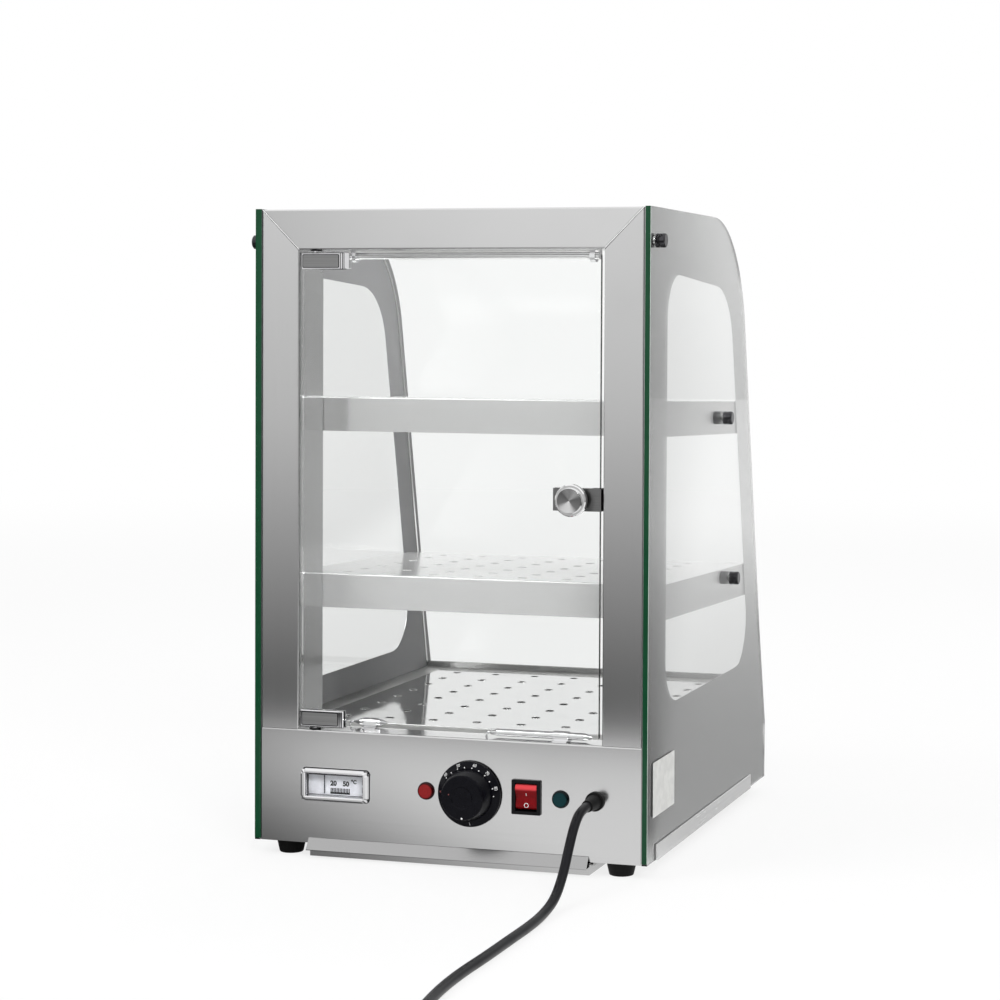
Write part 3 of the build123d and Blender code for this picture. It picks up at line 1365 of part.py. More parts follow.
coil_length = coil_path.wire().length
coil_ratio = cord_coil.part.volume / (pi * cord_radius**2 * coil_length)
print("coil length", round(coil_length), "volume against section times length", round(coil_ratio, 4),
      "least gap", round(least_gap(coil_path.wire(), cord_radius), 2))
print("lead length", round(coil_length + cord_length + gland_tail))

# Plug: a round body with a tapered boot and two pins, lying beside the coil
plug_y = coil_tail[1]
with BuildPart() as power_plug:
    with BuildSketch(front_plane(plug_y)):
        with Locations((coil_tail[0], plug_axis_z)):
            Circle(cord_radius + plug_boot_wall)
    with BuildSketch(front_plane(plug_y - plug_boot)):
        with Locations((coil_tail[0], plug_axis_z)):
            Circle(plug_boot_radius)
    loft()
    with BuildSketch(front_plane(plug_y - plug_boot)):
        with Locations((coil_tail[0], plug_axis_z)):
            Circle(plug_radius)
    extrude(amount=plug_length)
    fillet(power_plug.edges().filter_by(GeomType.CIRCLE).filter_by(
        lambda e: abs(e.radius - plug_radius) < 0.01), plug_round)
    with BuildSketch(front_plane(plug_y - plug_boot - plug_length)):
        with Locations((coil_tail[0], plug_axis_z)):
            with GridLocations(plug_pin_spacing, 1, 2, 1):
                Circle(plug_pin_radius)
    extrude(amount=plug_pin_length)
save(power_plug, "power_plug")
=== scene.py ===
"""Looks of the heated display case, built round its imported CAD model.

A counter-top case for warm food: brushed steel frame and base, a hinged glass door in
chromed clips, side glasses with silver borders, one bent rear glass, perforated shelves
over a mirror-bright deck, and a row of controls. Metres, +Z up, the door faces -Y.
"""
from __future__ import annotations

import logging
import math
from dataclasses import dataclass, field
from enum import Enum
from typing import Callable, Iterable, Mapping, Sequence

import bmesh
import bpy
from bpy.types import Material, Mesh, Node, NodeSocket, NodeTree, Object, World
from mathutils import Matrix, Vector
from mathutils.bvhtree import BVHTree

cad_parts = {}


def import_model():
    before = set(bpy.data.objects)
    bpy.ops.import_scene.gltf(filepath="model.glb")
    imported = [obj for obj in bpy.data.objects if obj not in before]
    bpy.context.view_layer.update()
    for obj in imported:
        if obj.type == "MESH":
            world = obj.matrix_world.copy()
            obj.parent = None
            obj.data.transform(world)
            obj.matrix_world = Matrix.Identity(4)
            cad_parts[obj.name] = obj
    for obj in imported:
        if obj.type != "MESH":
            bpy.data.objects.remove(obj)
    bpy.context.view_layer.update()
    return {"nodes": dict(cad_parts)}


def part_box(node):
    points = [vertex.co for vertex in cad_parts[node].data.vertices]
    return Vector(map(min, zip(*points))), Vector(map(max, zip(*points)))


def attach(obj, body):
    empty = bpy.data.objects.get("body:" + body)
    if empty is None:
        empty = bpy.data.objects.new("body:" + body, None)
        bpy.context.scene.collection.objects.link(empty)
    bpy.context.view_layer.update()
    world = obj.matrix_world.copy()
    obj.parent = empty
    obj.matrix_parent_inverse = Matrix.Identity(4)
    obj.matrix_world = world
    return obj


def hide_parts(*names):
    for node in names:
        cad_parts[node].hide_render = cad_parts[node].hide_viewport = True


LOG = logging.getLogger("display_case")
MM = 0.001
UPRIGHT = math.radians(90)
WHITE = (1.0, 1.0, 1.0)
CORNER_STEPS = 6
LEAST_RADIUS = 0.01 * MM
CAPITAL_SHARE = 0.7
STREAKS_ALONG, STREAKS_ACROSS = 5.0, 1700.0
Colour = tuple[float, float, float]
Point = tuple[float, float, float]
Span = tuple[float, ...]


class Direction(Enum):
    """A direction along one axis of the case."""

    X = (1.0, 0.0, 0.0)
    Y = (0.0, 1.0, 0.0)
    Z = (0.0, 0.0, 1.0)


class Ray(Enum):
    """Kinds of ray that see the plain white studio instead of its real light."""

    CAMERA = "Is Camera Ray"
    GLOSSY = "Is Glossy Ray"
    TRANSMISSION = "Is Transmission Ray"


class Kind(Enum):
    """Kinds of socket that a node group has."""

    COUNT = "NodeSocketInt"
    SIZE = "NodeSocketFloat"
    PLACE = "NodeSocketVector"
    MATERIAL = "NodeSocketMaterial"


def grey(value: float) -> Colour:
    """A grey of the given value."""
    return (value, value, value)


def shaded(colour: Colour, share: float, lift: float = 0.0) -> Colour:
    """A colour made darker or lighter, up to white."""
    return tuple(min(1.0, part * share + lift) for part in colour)


# Node building


@dataclass
class NodeBench:
    """Adds nodes to one tree and links them."""

    tree: NodeTree

    def add(self, kind: str, inputs: Mapping[str, object] | None = None, **settings: object) -> Node:
        """Add one node.

        Args:
            kind: Blender's name of the node type.
            inputs: values or output sockets, by the name of the input.
            settings: properties of the node itself.

        Returns:
            The new node.
        """
        node = self.tree.nodes.new(kind)
        for name, value in settings.items():
            setattr(node, name, value)
        self.fill(node, inputs or {})
        return node

    def feed(self, socket: NodeSocket, value: object) -> None:
        """Link an output to an input, or set the input's own value."""
        if isinstance(value, NodeSocket):
            self.tree.links.new(value, socket)
        else:
            socket.default_value = value

    def fill(self, node: Node, values: Mapping[str | int, object]) -> None:
        """Feed several inputs of a node, by name or number."""
        for name, value in values.items():
            self.feed(node.inputs[name], value)

    def maths(self, operation: str, *values: object) -> NodeSocket:
        """Result of a Math node on up to three values or sockets."""
        node = self.add("ShaderNodeMath", operation=operation)
        self.fill(node, dict(enumerate(values)))
        return node.outputs[0]

    def vectors(self, operation: str, *values: object, result: str = "Vector") -> NodeSocket:
        """Result of a Vector Math node on one or two vectors or sockets."""
        node = self.add("ShaderNodeVectorMath", operation=operation)
        self.fill(node, dict(enumerate(values)))
        return node.outputs[result]

    def between(self, share: object, first: object, second: object) -> NodeSocket:
        """Number between two numbers."""
        return self.maths("MULTIPLY_ADD", share, self.maths("SUBTRACT", second, first), first)

    def parts(self, vector: NodeSocket) -> Mapping[str, NodeSocket]:
        """The X, Y and Z of a vector."""
        return self.add("ShaderNodeSeparateXYZ", inputs={"Vector": vector}).outputs

    def mix(self, factor: object, first: object, second: object) -> NodeSocket:
        """Colour between two colours."""
        node = self.add("ShaderNodeMix", data_type="RGBA")
        for index, value in ((0, factor), (6, first), (7, second)):
            self.feed(node.inputs[index], (*value, 1.0) if isinstance(value, tuple) else value)
        return node.outputs[2]

    def remap(self, value: object, low: float, high: float, to_low: float = 0.0, to_high: float = 1.0,
              course: str = "SMOOTHSTEP") -> NodeSocket:
        """Value moved from one range to another, smoothly unless told otherwise, and held there."""
        node = self.add("ShaderNodeMapRange", interpolation_type=course, inputs={
            "Value": value, "From Min": low, "From Max": high, "To Min": to_low, "To Max": to_high})
        return node.outputs[0]

    def noise(self, vector: object, scale: object, detail: float, roughness: float) -> NodeSocket:
        """Grey value of a Noise texture."""
        return self.add("ShaderNodeTexNoise", inputs={
            "Vector": vector, "Scale": scale, "Detail": detail, "Roughness": roughness}).outputs[0]

    def bump(self, height: NodeSocket, strength: float, distance: float) -> NodeSocket:
        """Normals of a surface that stands out by a height."""
        return self.add("ShaderNodeBump", inputs={
            "Strength": strength, "Distance": distance, "Height": height}).outputs[0]

    def radial(self, axis: str) -> NodeSocket:
        """Tangents that run round an axis."""
        return self.add("ShaderNodeTangent", direction_type="RADIAL", axis=axis).outputs[0]

    def place(self) -> NodeSocket:
        """Object coordinates: the place on the case, in metres."""
        return self.add("ShaderNodeTexCoord").outputs["Object"]

    def facing(self) -> NodeSocket:
        """The surface normal in the piece's own frame."""
        return self.add("ShaderNodeTexCoord").outputs["Normal"]


def cleared(owner: Material | World) -> NodeBench:
    """A bench on the emptied node tree of a material or world."""
    owner.use_nodes = True
    owner.node_tree.nodes.clear()
    return NodeBench(owner.node_tree)


@dataclass
class SharedEffects:
    """Node groups that several materials use, each built once."""

    groups: dict[str, NodeTree] = field(default_factory=dict)

    def _start(self, name: str, inputs: Mapping[str, object],
               outputs: Sequence[str]) -> tuple[NodeBench, Mapping[str, NodeSocket], Node]:
        """Make an empty group with its sockets.

        Args:
            name: the group's name.
            inputs: default value of each input, a vector or one number.
            outputs: name of each output, all of them one number.

        Returns:
            The bench, the incoming sockets and the output node of the group.
        """
        tree = bpy.data.node_groups.new(name, "ShaderNodeTree")
        for title, value in inputs.items():
            kind = Kind.PLACE if isinstance(value, tuple) else Kind.SIZE
            socket = tree.interface.new_socket(name=title, in_out="INPUT", socket_type=kind.value)
            socket.default_value = value
        for title in outputs:
            tree.interface.new_socket(name=title, in_out="OUTPUT", socket_type=Kind.SIZE.value)
        self.groups[name] = tree
        bench = NodeBench(tree)
        return bench, bench.add("NodeGroupInput").outputs, bench.add("NodeGroupOutput")

    def use(self, bench: NodeBench, name: str, **values: object) -> Mapping[str, NodeSocket]:
        """Place a group in a material, with that material's own values.

        Args:
            bench: the material's bench.
            name: the group's name.
            values: what its inputs get, apart from the place on the case.

        Returns:
            The outputs of the group.
        """
        makers: dict[str, Callable[[], None]] = {
            "BrushGrain": self._brush_grain, "HandlingMarks": self._handling_marks,
            "MouldGrain": self._mould_grain, "CutEdge": self._cut_edge, "TurnedRings": self._turned_rings}
        if name not in self.groups:
            makers[name]()
        node = bench.add("ShaderNodeGroup", node_tree=self.groups[name], inputs=values)
        if "Vector" in node.inputs:
            bench.feed(node.inputs["Vector"], bench.place())
        return node.outputs

    def _brush_grain(self) -> None:
        """Long fine streaks of brushed sheet: tone and height."""
        bench, given, leave = self._start(
            "BrushGrain", {"Vector": grey(0.0), "Stretch": grey(1.0)}, ("Streak", "Height"))
        spread = bench.vectors("MULTIPLY", given["Vector"], given["Stretch"])
        coarse = bench.noise(spread, scale=1.0, detail=4.0, roughness=0.62)
        fine = bench.noise(spread, scale=3.7, detail=3.0, roughness=0.7)
        bench.fill(leave, {"Streak": bench.remap(coarse, 0.32, 0.68),
                           "Height": bench.maths("MULTIPLY_ADD", fine, 0.6)})

    def _handling_marks(self) -> None:
        """Soft cloudy marks where hands and cloths have been."""
        bench, given, leave = self._start("HandlingMarks", {"Vector": grey(0.0), "Size": 0.1}, ("Marks",))
        scale = bench.maths("DIVIDE", 1.0, given["Size"])
        cloud = bench.noise(given["Vector"], scale, detail=3.0, roughness=0.5)
        wipe = bench.noise(given["Vector"], bench.maths("MULTIPLY", scale, 4.3), detail=2.0, roughness=0.6)
        bench.fill(leave, {"Marks": bench.maths("MULTIPLY", bench.remap(cloud, 0.45, 0.72), wipe)})

    def _mould_grain(self) -> None:
        """Fine moulded texture of plastic and rubber."""
        bench, given, leave = self._start(
            "MouldGrain", {"Vector": grey(0.0), "Grain": 0.4 * MM}, ("Fleck", "Height"))
        scale = bench.maths("DIVIDE", 1.0, given["Grain"])
        broad = bench.noise(given["Vector"], bench.maths("MULTIPLY", scale, 0.07), detail=3.0, roughness=0.6)
        bench.fill(leave, {"Height": bench.noise(given["Vector"], scale, detail=2.0, roughness=0.5),
                           "Fleck": bench.remap(broad, 0.35, 0.65)})

    def _cut_edge(self) -> None:
        """One on the cut edges of a pane, and nothing on its two broad faces."""
        bench, given, leave = self._start(
            "CutEdge", {"Normal": Direction.Z.value, "Across": Direction.Y.value}, ("Edge",))
        turn = bench.vectors("DOT_PRODUCT", given["Normal"], given["Across"], result="Value")
        bench.fill(leave, {"Edge": bench.remap(bench.maths("ABSOLUTE", turn), 0.35, 0.75, 1.0, 0.0)})

    def _turned_rings(self) -> None:
        """Fine rings of a face turned on a lathe, about an axis along Y."""
        inputs = {"Vector": grey(0.0), "Centre": grey(0.0), "Pitch": 0.5 * MM}
        bench, given, leave = self._start("TurnedRings", inputs, ("Rings", "Radius"))
        arm = bench.vectors("SUBTRACT", given["Vector"], given["Centre"])
        flat = bench.vectors("MULTIPLY", arm, (1.0, 0.0, 1.0))
        radius = bench.vectors("LENGTH", flat, result="Value")
        turns = bench.maths("DIVIDE", radius, given["Pitch"])
        spread = bench.add("ShaderNodeCombineXYZ", inputs={"X": turns})
        rings = bench.noise(spread.outputs[0], scale=1.0, detail=3.0, roughness=0.7)
        bench.fill(leave, {"Rings": rings, "Radius": radius})


# Finishes


@dataclass(frozen=True)
class Finish:
    """What every finish has: its name, and one Principled shader on its output."""

    name: str

    def build(self, effects: SharedEffects) -> Material:
        """Make the material."""
        material = bpy.data.materials.new(self.name)
        bench = cleared(material)
        shader = bench.add("ShaderNodeBsdfPrincipled")
        bench.add("ShaderNodeOutputMaterial", inputs={"Surface": shader.outputs[0]})
        bench.fill(shader, self.look(bench, effects))
        return material

    def look(self, bench: NodeBench, effects: SharedEffects) -> dict[str, object]:
        """Values or sockets for the shader's inputs.

        Args:
            bench: the material's bench.
            effects: the shared node groups.

        Returns:
            What each input gets, by its name.
        """
        raise NotImplementedError


@dataclass(frozen=True)
class BrushedSteel(Finish):
    """Stainless sheet with a grain along one axis, and painted light and shade: a lighter or darker copy of
    its colour on the faces that turn aside.
    """

    grain: Direction
    colour: Colour = (0.70, 0.70, 0.69)
    roughness: float = 0.20
    anisotropy: float = 0.5
    streaks: float = 0.012
    # Faces turned along the aside direction get their colour scaled by the tone below: painted shade where
    # it is under 1, painted highlight where it is over 1.
    aside: Direction = Direction.X
    painted_facing_tone: float = 1.0
    metallic: float = 1.0
    painted_facing_span: Span = (0.15, 0.35)
    mark_size: float = 120.0 * MM
    streak_gloss: float = 0.02
    mark_gloss: float = 0.03

    def look(self, bench: NodeBench, effects: SharedEffects) -> dict[str, object]:
        """Fine streaks along the grain, in tone, gloss and height, with faint marks."""
        stretch = tuple(STREAKS_ALONG if along else STREAKS_ACROSS for along in self.grain.value)
        grain = effects.use(bench, "BrushGrain", Stretch=stretch)
        marks = effects.use(bench, "HandlingMarks", Size=self.mark_size)["Marks"]
        dark, light = shaded(self.colour, 1 - self.streaks), shaded(self.colour, 1 + self.streaks)
        tone = bench.mix(grain["Streak"], dark, light)
        # Painted light and shade: faces turned along the aside direction take a lighter or darker copy of
        # the colour.
        if self.painted_facing_tone != 1.0:
            turn = bench.vectors("DOT_PRODUCT", bench.facing(), self.aside.value, result="Value")
            away = bench.remap(bench.maths("ABSOLUTE", turn), *self.painted_facing_span)
            tone = bench.mix(away, tone, shaded(self.colour, self.painted_facing_tone))
        least = self.roughness - self.streak_gloss / 2
        gloss = bench.maths("MULTIPLY_ADD", grain["Streak"], self.streak_gloss, least)
        return {"Base Color": tone, "Roughness": bench.maths("MULTIPLY_ADD", marks, self.mark_gloss, gloss),
                "Metallic": self.metallic, "Anisotropic": self.anisotropy,
                "Tangent": bench.radial(self.grain.name),
                "Normal": bench.bump(grain["Height"], strength=0.05, distance=0.03 * MM)}


@dataclass(frozen=True)
class BrightMetal(Finish):
    """Polished or plated metal with faint waves and wiping marks."""

    colour: Colour = (0.80, 0.80, 0.81)
    roughness: float = 0.08
    waves: float = 0.3 * MM
    wave_size: float = 50.0 * MM
    worn: float = 0.94
    mark_size: float = 30.0 * MM
    mark_gloss: float = 0.08

    def look(self, bench: NodeBench, effects: SharedEffects) -> dict[str, object]:
        """A mirror that waves a little, and is duller where it was wiped."""
        marks = effects.use(bench, "HandlingMarks", Size=self.mark_size)["Marks"]
        swell = bench.noise(bench.place(), 1.0 / self.wave_size, detail=1.0, roughness=0.4)
        return {"Base Color": bench.mix(marks, self.colour, shaded(self.colour, self.worn)),
                "Roughness": bench.maths("MULTIPLY_ADD", marks, self.mark_gloss, self.roughness),
                "Metallic": 1.0, "Normal": bench.bump(swell, strength=1.0, distance=self.waves)}


@dataclass(frozen=True)
class TurnedMetal(Finish):
    """Chromed metal with a face turned in fine rings about an axis along Y, and a painted reflection: two
    bright fans on a face otherwise painted dark.
    """

    centre: Point
    face_radius: float
    colour: Colour = grey(0.92)
    # The fan's line, how fast the colour fades away from it, and the near-black colour between the fans
    # together paint a reflection into the colour.
    painted_fan_axis: Point = (0.26, 0.0, 0.966)
    painted_fan_fade: Span = (0.45, 0.95, 0.72, 0.0)
    ring_pitch: float = 0.45 * MM
    ring_tone: float = 0.78
    painted_dark_between_fans: Colour = grey(0.02)
    side_gloss: float = 0.07
    face_gloss: float = 0.2

    def look(self, bench: NodeBench, effects: SharedEffects) -> dict[str, object]:
        """Rings on the flat face, which is painted dark except along the fans: a painted reflection."""
        rings = effects.use(bench, "TurnedRings", Centre=self.centre, Pitch=self.ring_pitch)
        face = bench.remap(rings["Radius"], self.face_radius, self.face_radius * 1.04, 1.0, 0.0)
        lined = bench.maths("MULTIPLY", rings["Rings"], face)
        tone = bench.mix(lined, self.colour, shaded(self.colour, self.ring_tone))
        # Painted reflection: the face's colour falls to near black away from the fan's line, which leaves
        # two bright fans.
        arm = bench.vectors("SUBTRACT", bench.place(), self.centre)
        along = bench.maths("ABSOLUTE", bench.vectors("DOT_PRODUCT", arm, self.painted_fan_axis, result="Value"))
        share = bench.maths("DIVIDE", along, bench.maths("MAXIMUM", rings["Radius"], 0.1 * MM))
        painted_dark_mask = bench.maths("MULTIPLY", bench.remap(share, *self.painted_fan_fade), face)
        return {"Base Color": bench.mix(painted_dark_mask, tone, self.painted_dark_between_fans),
                "Roughness": bench.maths("MULTIPLY_ADD", face, self.face_gloss, self.side_gloss),
                "Metallic": 1.0, "Anisotropic": 0.8, "Tangent": bench.radial("Y"),
                "Normal": bench.bump(lined, strength=0.35, distance=0.05 * MM)}


@dataclass(frozen=True)
class FloatGlass(Finish):
    """Clear pane with dark green cut edges."""

    across: Direction
    curved: bool = False
    body: Colour = (0.968, 0.974, 0.970)
    edge: Colour = (0.012, 0.085, 0.036)
    ior: float = 1.5
    mark_size: float = 90.0 * MM
    mark_gloss: float = 0.012

    def look(self, bench: NodeBench, effects: SharedEffects) -> dict[str, object]:
        """Clear on the broad faces and green on the cut ones, with the faintest marks."""
        mask = effects.use(bench, "CutEdge", Normal=bench.facing(), Across=self.across.value)["Edge"]
        if self.curved:
            mask = bench.maths("SUBTRACT", 1.0, mask)
        marks = effects.use(bench, "HandlingMarks", Size=self.mark_size)["Marks"]
        return {"Base Color": bench.mix(mask, self.body, self.edge),
                "Roughness": bench.maths("MULTIPLY", marks, self.mark_gloss),
                "IOR": self.ior, "Transmission Weight": 1.0}


@dataclass(frozen=True)
class SilverPrint(Finish):
    """Metallic print with a fine flake."""

    colour: Colour = grey(0.82)
    roughness: float = 0.12
    metallic: float = 0.97
    flake: float = 0.6 * MM
    flake_tone: float = 0.97
    flake_gloss: float = 0.03

    def look(self, bench: NodeBench, effects: SharedEffects) -> dict[str, object]:
        """Small flakes, in tone and gloss."""
        grain = effects.use(bench, "MouldGrain", Grain=self.flake)
        return {"Base Color": bench.mix(grain["Height"], shaded(self.colour, self.flake_tone), self.colour),
                "Roughness": bench.maths("MULTIPLY_ADD", grain["Fleck"], self.flake_gloss, self.roughness),
                "Metallic": self.metallic}


@dataclass(frozen=True)
class Moulded(Finish):
    """Moulded plastic or rubber with a fine grain."""

    colour: Colour
    roughness: float = 0.4
    grain: float = 0.4 * MM
    depth: float = 0.02 * MM
    specular: float = 0.5
    mark_size: float = 20.0 * MM
    mark_gloss: float = 0.12
    fleck: tuple[float, float] = (1.12, 0.001)

    def look(self, bench: NodeBench, effects: SharedEffects) -> dict[str, object]:
        """Grain in tone and height, and marks in gloss."""
        grain = effects.use(bench, "MouldGrain", Grain=self.grain)
        marks = effects.use(bench, "HandlingMarks", Size=self.mark_size)["Marks"]
        return {"Base Color": bench.mix(grain["Fleck"], self.colour, shaded(self.colour, *self.fleck)),
                "Roughness": bench.maths("MULTIPLY_ADD", marks, self.mark_gloss, self.roughness),
                "Specular IOR Level": self.specular,
                "Normal": bench.bump(grain["Height"], strength=0.5, distance=self.depth)}


@dataclass(frozen=True)
class Ink(Moulded):
    """Printed ink or a ground edge, flatter than a moulded face."""

    roughness: float = 0.5
    depth: float = 0.005 * MM


@dataclass(frozen=True)
class ClearRed(Finish):
    """Translucent red plastic, with a painted highlight along its top edge."""

    dark: Colour = (0.15, 0.002, 0.004)
    # The light colour, the edge height and the band give a painted highlight just under the top edge.
    light: Colour = (0.70, 0.06, 0.07)
    edge: float = 76.2 * MM
    band: float = 2.6 * MM

    def look(self, bench: NodeBench, effects: SharedEffects) -> dict[str, object]:
        """Dark red with a painted highlight band along the top."""
        fleck = effects.use(bench, "MouldGrain", Grain=0.7 * MM)["Fleck"]
        # Painted highlight: the colour turns to the light red toward the top edge.
        painted_top_highlight = bench.remap(bench.parts(bench.place())["Z"], self.edge - self.band, self.edge)
        body = bench.mix(fleck, self.dark, shaded(self.dark, 1.25))
        return {"Base Color": bench.mix(painted_top_highlight, body, self.light),
                "Roughness": bench.maths("MULTIPLY_ADD", fleck, 0.06, 0.2), "Specular IOR Level": 0.12}


@dataclass(frozen=True)
class SignalLens(Finish):
    """Coloured lens of an indicator, with a paler moulded ring pattern inside, partly a painted highlight,
    and painted shade toward the rim.
    """

    colour: Colour
    ring_highlight: Colour
    centre: Point
    # Where the painted shade toward the rim starts and ends.
    rim: tuple[float, float] = (5.6 * MM, 7.0 * MM)

    def look(self, bench: NodeBench, effects: SharedEffects) -> dict[str, object]:
        """Rings of two colours, the paler one partly a painted highlight, with painted shade darkening them
        toward the rim.
        """
        rings = effects.use(bench, "TurnedRings", Centre=self.centre, Pitch=1.1 * MM)
        inner = bench.mix(rings["Rings"], self.colour, self.ring_highlight)
        # Painted shade: the lens darkens to a quarter of its colour toward the rim.
        outer = bench.remap(rings["Radius"], *self.rim)
        return {"Base Color": bench.mix(outer, inner, shaded(self.colour, 0.25)), "Roughness": 0.16,
                "Specular IOR Level": 0.15,
                "Normal": bench.bump(rings["Rings"], strength=0.3, distance=0.1 * MM)}


@dataclass(frozen=True)
class ClearCover(Finish):
    """Thin clear window over the scale."""

    tint: Colour = (0.97, 0.98, 0.98)
    dull: Colour = (0.93, 0.94, 0.95)
    mark_size: float = 12.0 * MM
    mark_gloss: float = 0.002
    ior: float = 1.45

    def look(self, bench: NodeBench, effects: SharedEffects) -> dict[str, object]:
        """Clear plastic with the faintest marks."""
        marks = effects.use(bench, "HandlingMarks", Size=self.mark_size)["Marks"]
        return {"Base Color": bench.mix(marks, self.tint, self.dull),
                "Roughness": bench.maths("MULTIPLY", marks, self.mark_gloss),
                "IOR": self.ior, "Transmission Weight": 1.0}


# Meshes


def link(piece: Object) -> Object:
    """Put an object into the scene and return it."""
    bpy.context.scene.collection.objects.link(piece)
    return piece


def mesh_piece(name: str, points: Iterable[Sequence[float]], faces: Iterable[Sequence[int]],
               material: Material, closed: bool = True) -> Object:
    """A mesh object from points and faces.

    Args:
        name: the piece's name.
        points: places in metres.
        faces: corners of each face.
        material: its finish.
        closed: whether it has an inside, so that its faces are turned outwards.

    Returns:
        The linked object.
    """
    mesh = bpy.data.meshes.new(name)
    mesh.from_pydata([tuple(p) for p in points], [], [tuple(f) for f in faces])
    mesh.materials.append(material)
    if closed:
        turned = bmesh.new()
        turned.from_mesh(mesh)
        bmesh.ops.recalc_face_normals(turned, faces=turned.faces)
        turned.to_mesh(mesh)
        turned.free()
    return link(bpy.data.objects.new(name, mesh))


def rounded_outline(width: float, height: float, radius: float) -> list[tuple[float, float]]:
    """Corners-first outline of a rectangle with round corners, about its middle."""
    outline = []
    for quarter, (x, z) in enumerate(((1, 1), (-1, 1), (-1, -1), (1, -1))):
        middle = Vector((x * (width / 2 - radius), z * (height / 2 - radius)))
        for step in range(CORNER_STEPS + 1):
            turn = UPRIGHT * (quarter + step / CORNER_STEPS)
            outline.append((middle.x + radius * math.cos(turn), middle.y + radius * math.sin(turn)))
    return outline


def lofted(name: str, centre: Point, size: tuple[float, float], radius: float,
           loops: Sequence[tuple[float, float]], material: Material, ring: bool = False) -> Object:
    """A piece that faces -Y, from round-cornered loops one in front of another.

    Args:
        name: the piece's name.
        centre: middle of its back face.
        size: its width along X and its height along Z.
        radius: outer corner radius.
        loops: how far each loop stands out and how far in it lies.
        material: its finish.
        ring: whether the last loop joins the first, which leaves the middle open.

    Returns:
        The linked object.
    """
    points = []
    for out, inset in loops:
        width, height = (side - 2 * inset for side in size)
        points += [(centre[0] + x, centre[1] - out, centre[2] + z)
                   for x, z in rounded_outline(width, height, max(radius - inset, LEAST_RADIUS))]
    total, count = len(points), len(points) // len(loops)
    faces: list[Sequence[int]] = [] if ring else [tuple(range(count)), tuple(range(total - count, total))]
    for start in range(0, total if ring else total - count, count):
        for k in range(count):
            after, above = (k + 1) % count, (start + count) % total
            faces.append((start + k, start + after, above + after, above + k))
    return mesh_piece(name, points, faces, material)


def front_plate(name: str, centre: Point, size: tuple[float, float], thick: float, radius: float,
                material: Material) -> Object:
    """A thin plate with round corners and a softened front edge, as thick as it stands out."""
    soft = min(thick, radius) * 0.6
    loops = ((0.0, 0.0), (thick - soft, 0.0), (thick - 0.3 * soft, 0.3 * soft), (thick, soft))
    return lofted(name, centre, size, radius, loops, material)


def outline_frame(name: str, centre: Point, size: tuple[float, float], radius: float, band: float,
                  thick: float, material: Material) -> Object:
    """A thin flat frame with round corners, as wide as its band."""
    loops = ((0.0, 0.0), (thick, 0.0), (thick, band), (0.0, band))
    return lofted(name, centre, size, radius, loops, material, ring=True)


def lettering(text: str, height: float, material: Material, bold: float = 0.0) -> Mesh:
    """Flat letters in the XZ plane, facing -Y, about their own middle.

    Args:
        text: what they say.
        height: of a capital, in metres.
        material: their ink.
        bold: how far each stroke is widened to both sides, as a share of the height.

    Returns:
        A mesh of the letters.
    """
    curve = bpy.data.curves.new("letters", "FONT")
    curve.body = text
    curve.size = height / CAPITAL_SHARE
    curve.offset = bold * height
    curve.align_x = curve.align_y = "CENTER"
    curve.resolution_u = 3
    carrier = link(bpy.data.objects.new("letters", curve))
    mesh = bpy.data.meshes.new_from_object(carrier.evaluated_get(bpy.context.evaluated_depsgraph_get()))
    bpy.data.objects.remove(carrier)
    bpy.data.curves.remove(curve)
    mesh.transform(Matrix.Rotation(UPRIGHT, 4, "X"))
    mesh.materials.clear()
    mesh.materials.append(material)
    return mesh


def joined(name: str, meshes: Sequence[Mesh]) -> Object:
    """One object from several meshes with the same material."""
    whole = bmesh.new()
    for mesh in meshes:
        whole.from_mesh(mesh)
    data = bpy.data.meshes.new(name)
    whole.to_mesh(data)
    whole.free()
    data.materials.append(meshes[0].materials[0])
    return link(bpy.data.objects.new(name, data))


def beside(centre: Point, x: float, z: float) -> Point:
    """A place to the right of a centre and above it."""
    return tuple(Vector(centre) + Vector((x, 0, z)))


@dataclass(frozen=True)
class Drape:
    """Lays flat marks on a solid's front, a hair in front of it."""

    solid: Object
    lift: float = 0.06 * MM
    start: float = -400.0 * MM

    def lay(self, piece: Object) -> Object:
        """Move each point of a flat piece along Y until it lies on the solid."""
        mesh = self.solid.data
        tree = BVHTree.FromPolygons([v.co for v in mesh.vertices], [p.vertices for p in mesh.polygons])
        work = bmesh.new()
        work.from_mesh(piece.data)
        bmesh.ops.triangulate(work, faces=work.faces)
        bmesh.ops.subdivide_edges(work, edges=work.edges, cuts=1)
        for point in work.verts:
            place, normal, _, _ = tree.ray_cast(
                Vector((point.co.x, self.start, point.co.z)), Vector(Direction.Y.value))
            if place is not None:
                point.co = place + normal * self.lift
        work.to_mesh(piece.data)
        work.free()
        return piece


@dataclass(frozen=True)
class Repeater:
    """Turns a Geometry Nodes tree into one plain mesh."""

    tree: NodeTree

    def make(self, name: str, values: Mapping[str, object]) -> Object:
        """Run the tree once.

        Args:
            name: the piece's name.
            values: what its named inputs get.

        Returns:
            The linked object, with no modifier left on it.
        """
        piece = link(bpy.data.objects.new(name, bpy.data.meshes.new(name)))
        layout = piece.modifiers.new("layout", "NODES")
        layout.node_group = self.tree
        for item in self.tree.interface.items_tree:
            if item.item_type == "SOCKET" and item.in_out == "INPUT" and item.name in values:
                layout[item.identifier] = values[item.name]
        mesh = bpy.data.meshes.new_from_object(piece.evaluated_get(bpy.context.evaluated_depsgraph_get()))
        piece.modifiers.remove(layout)
        piece.data = mesh
        mesh.name = name
        return piece


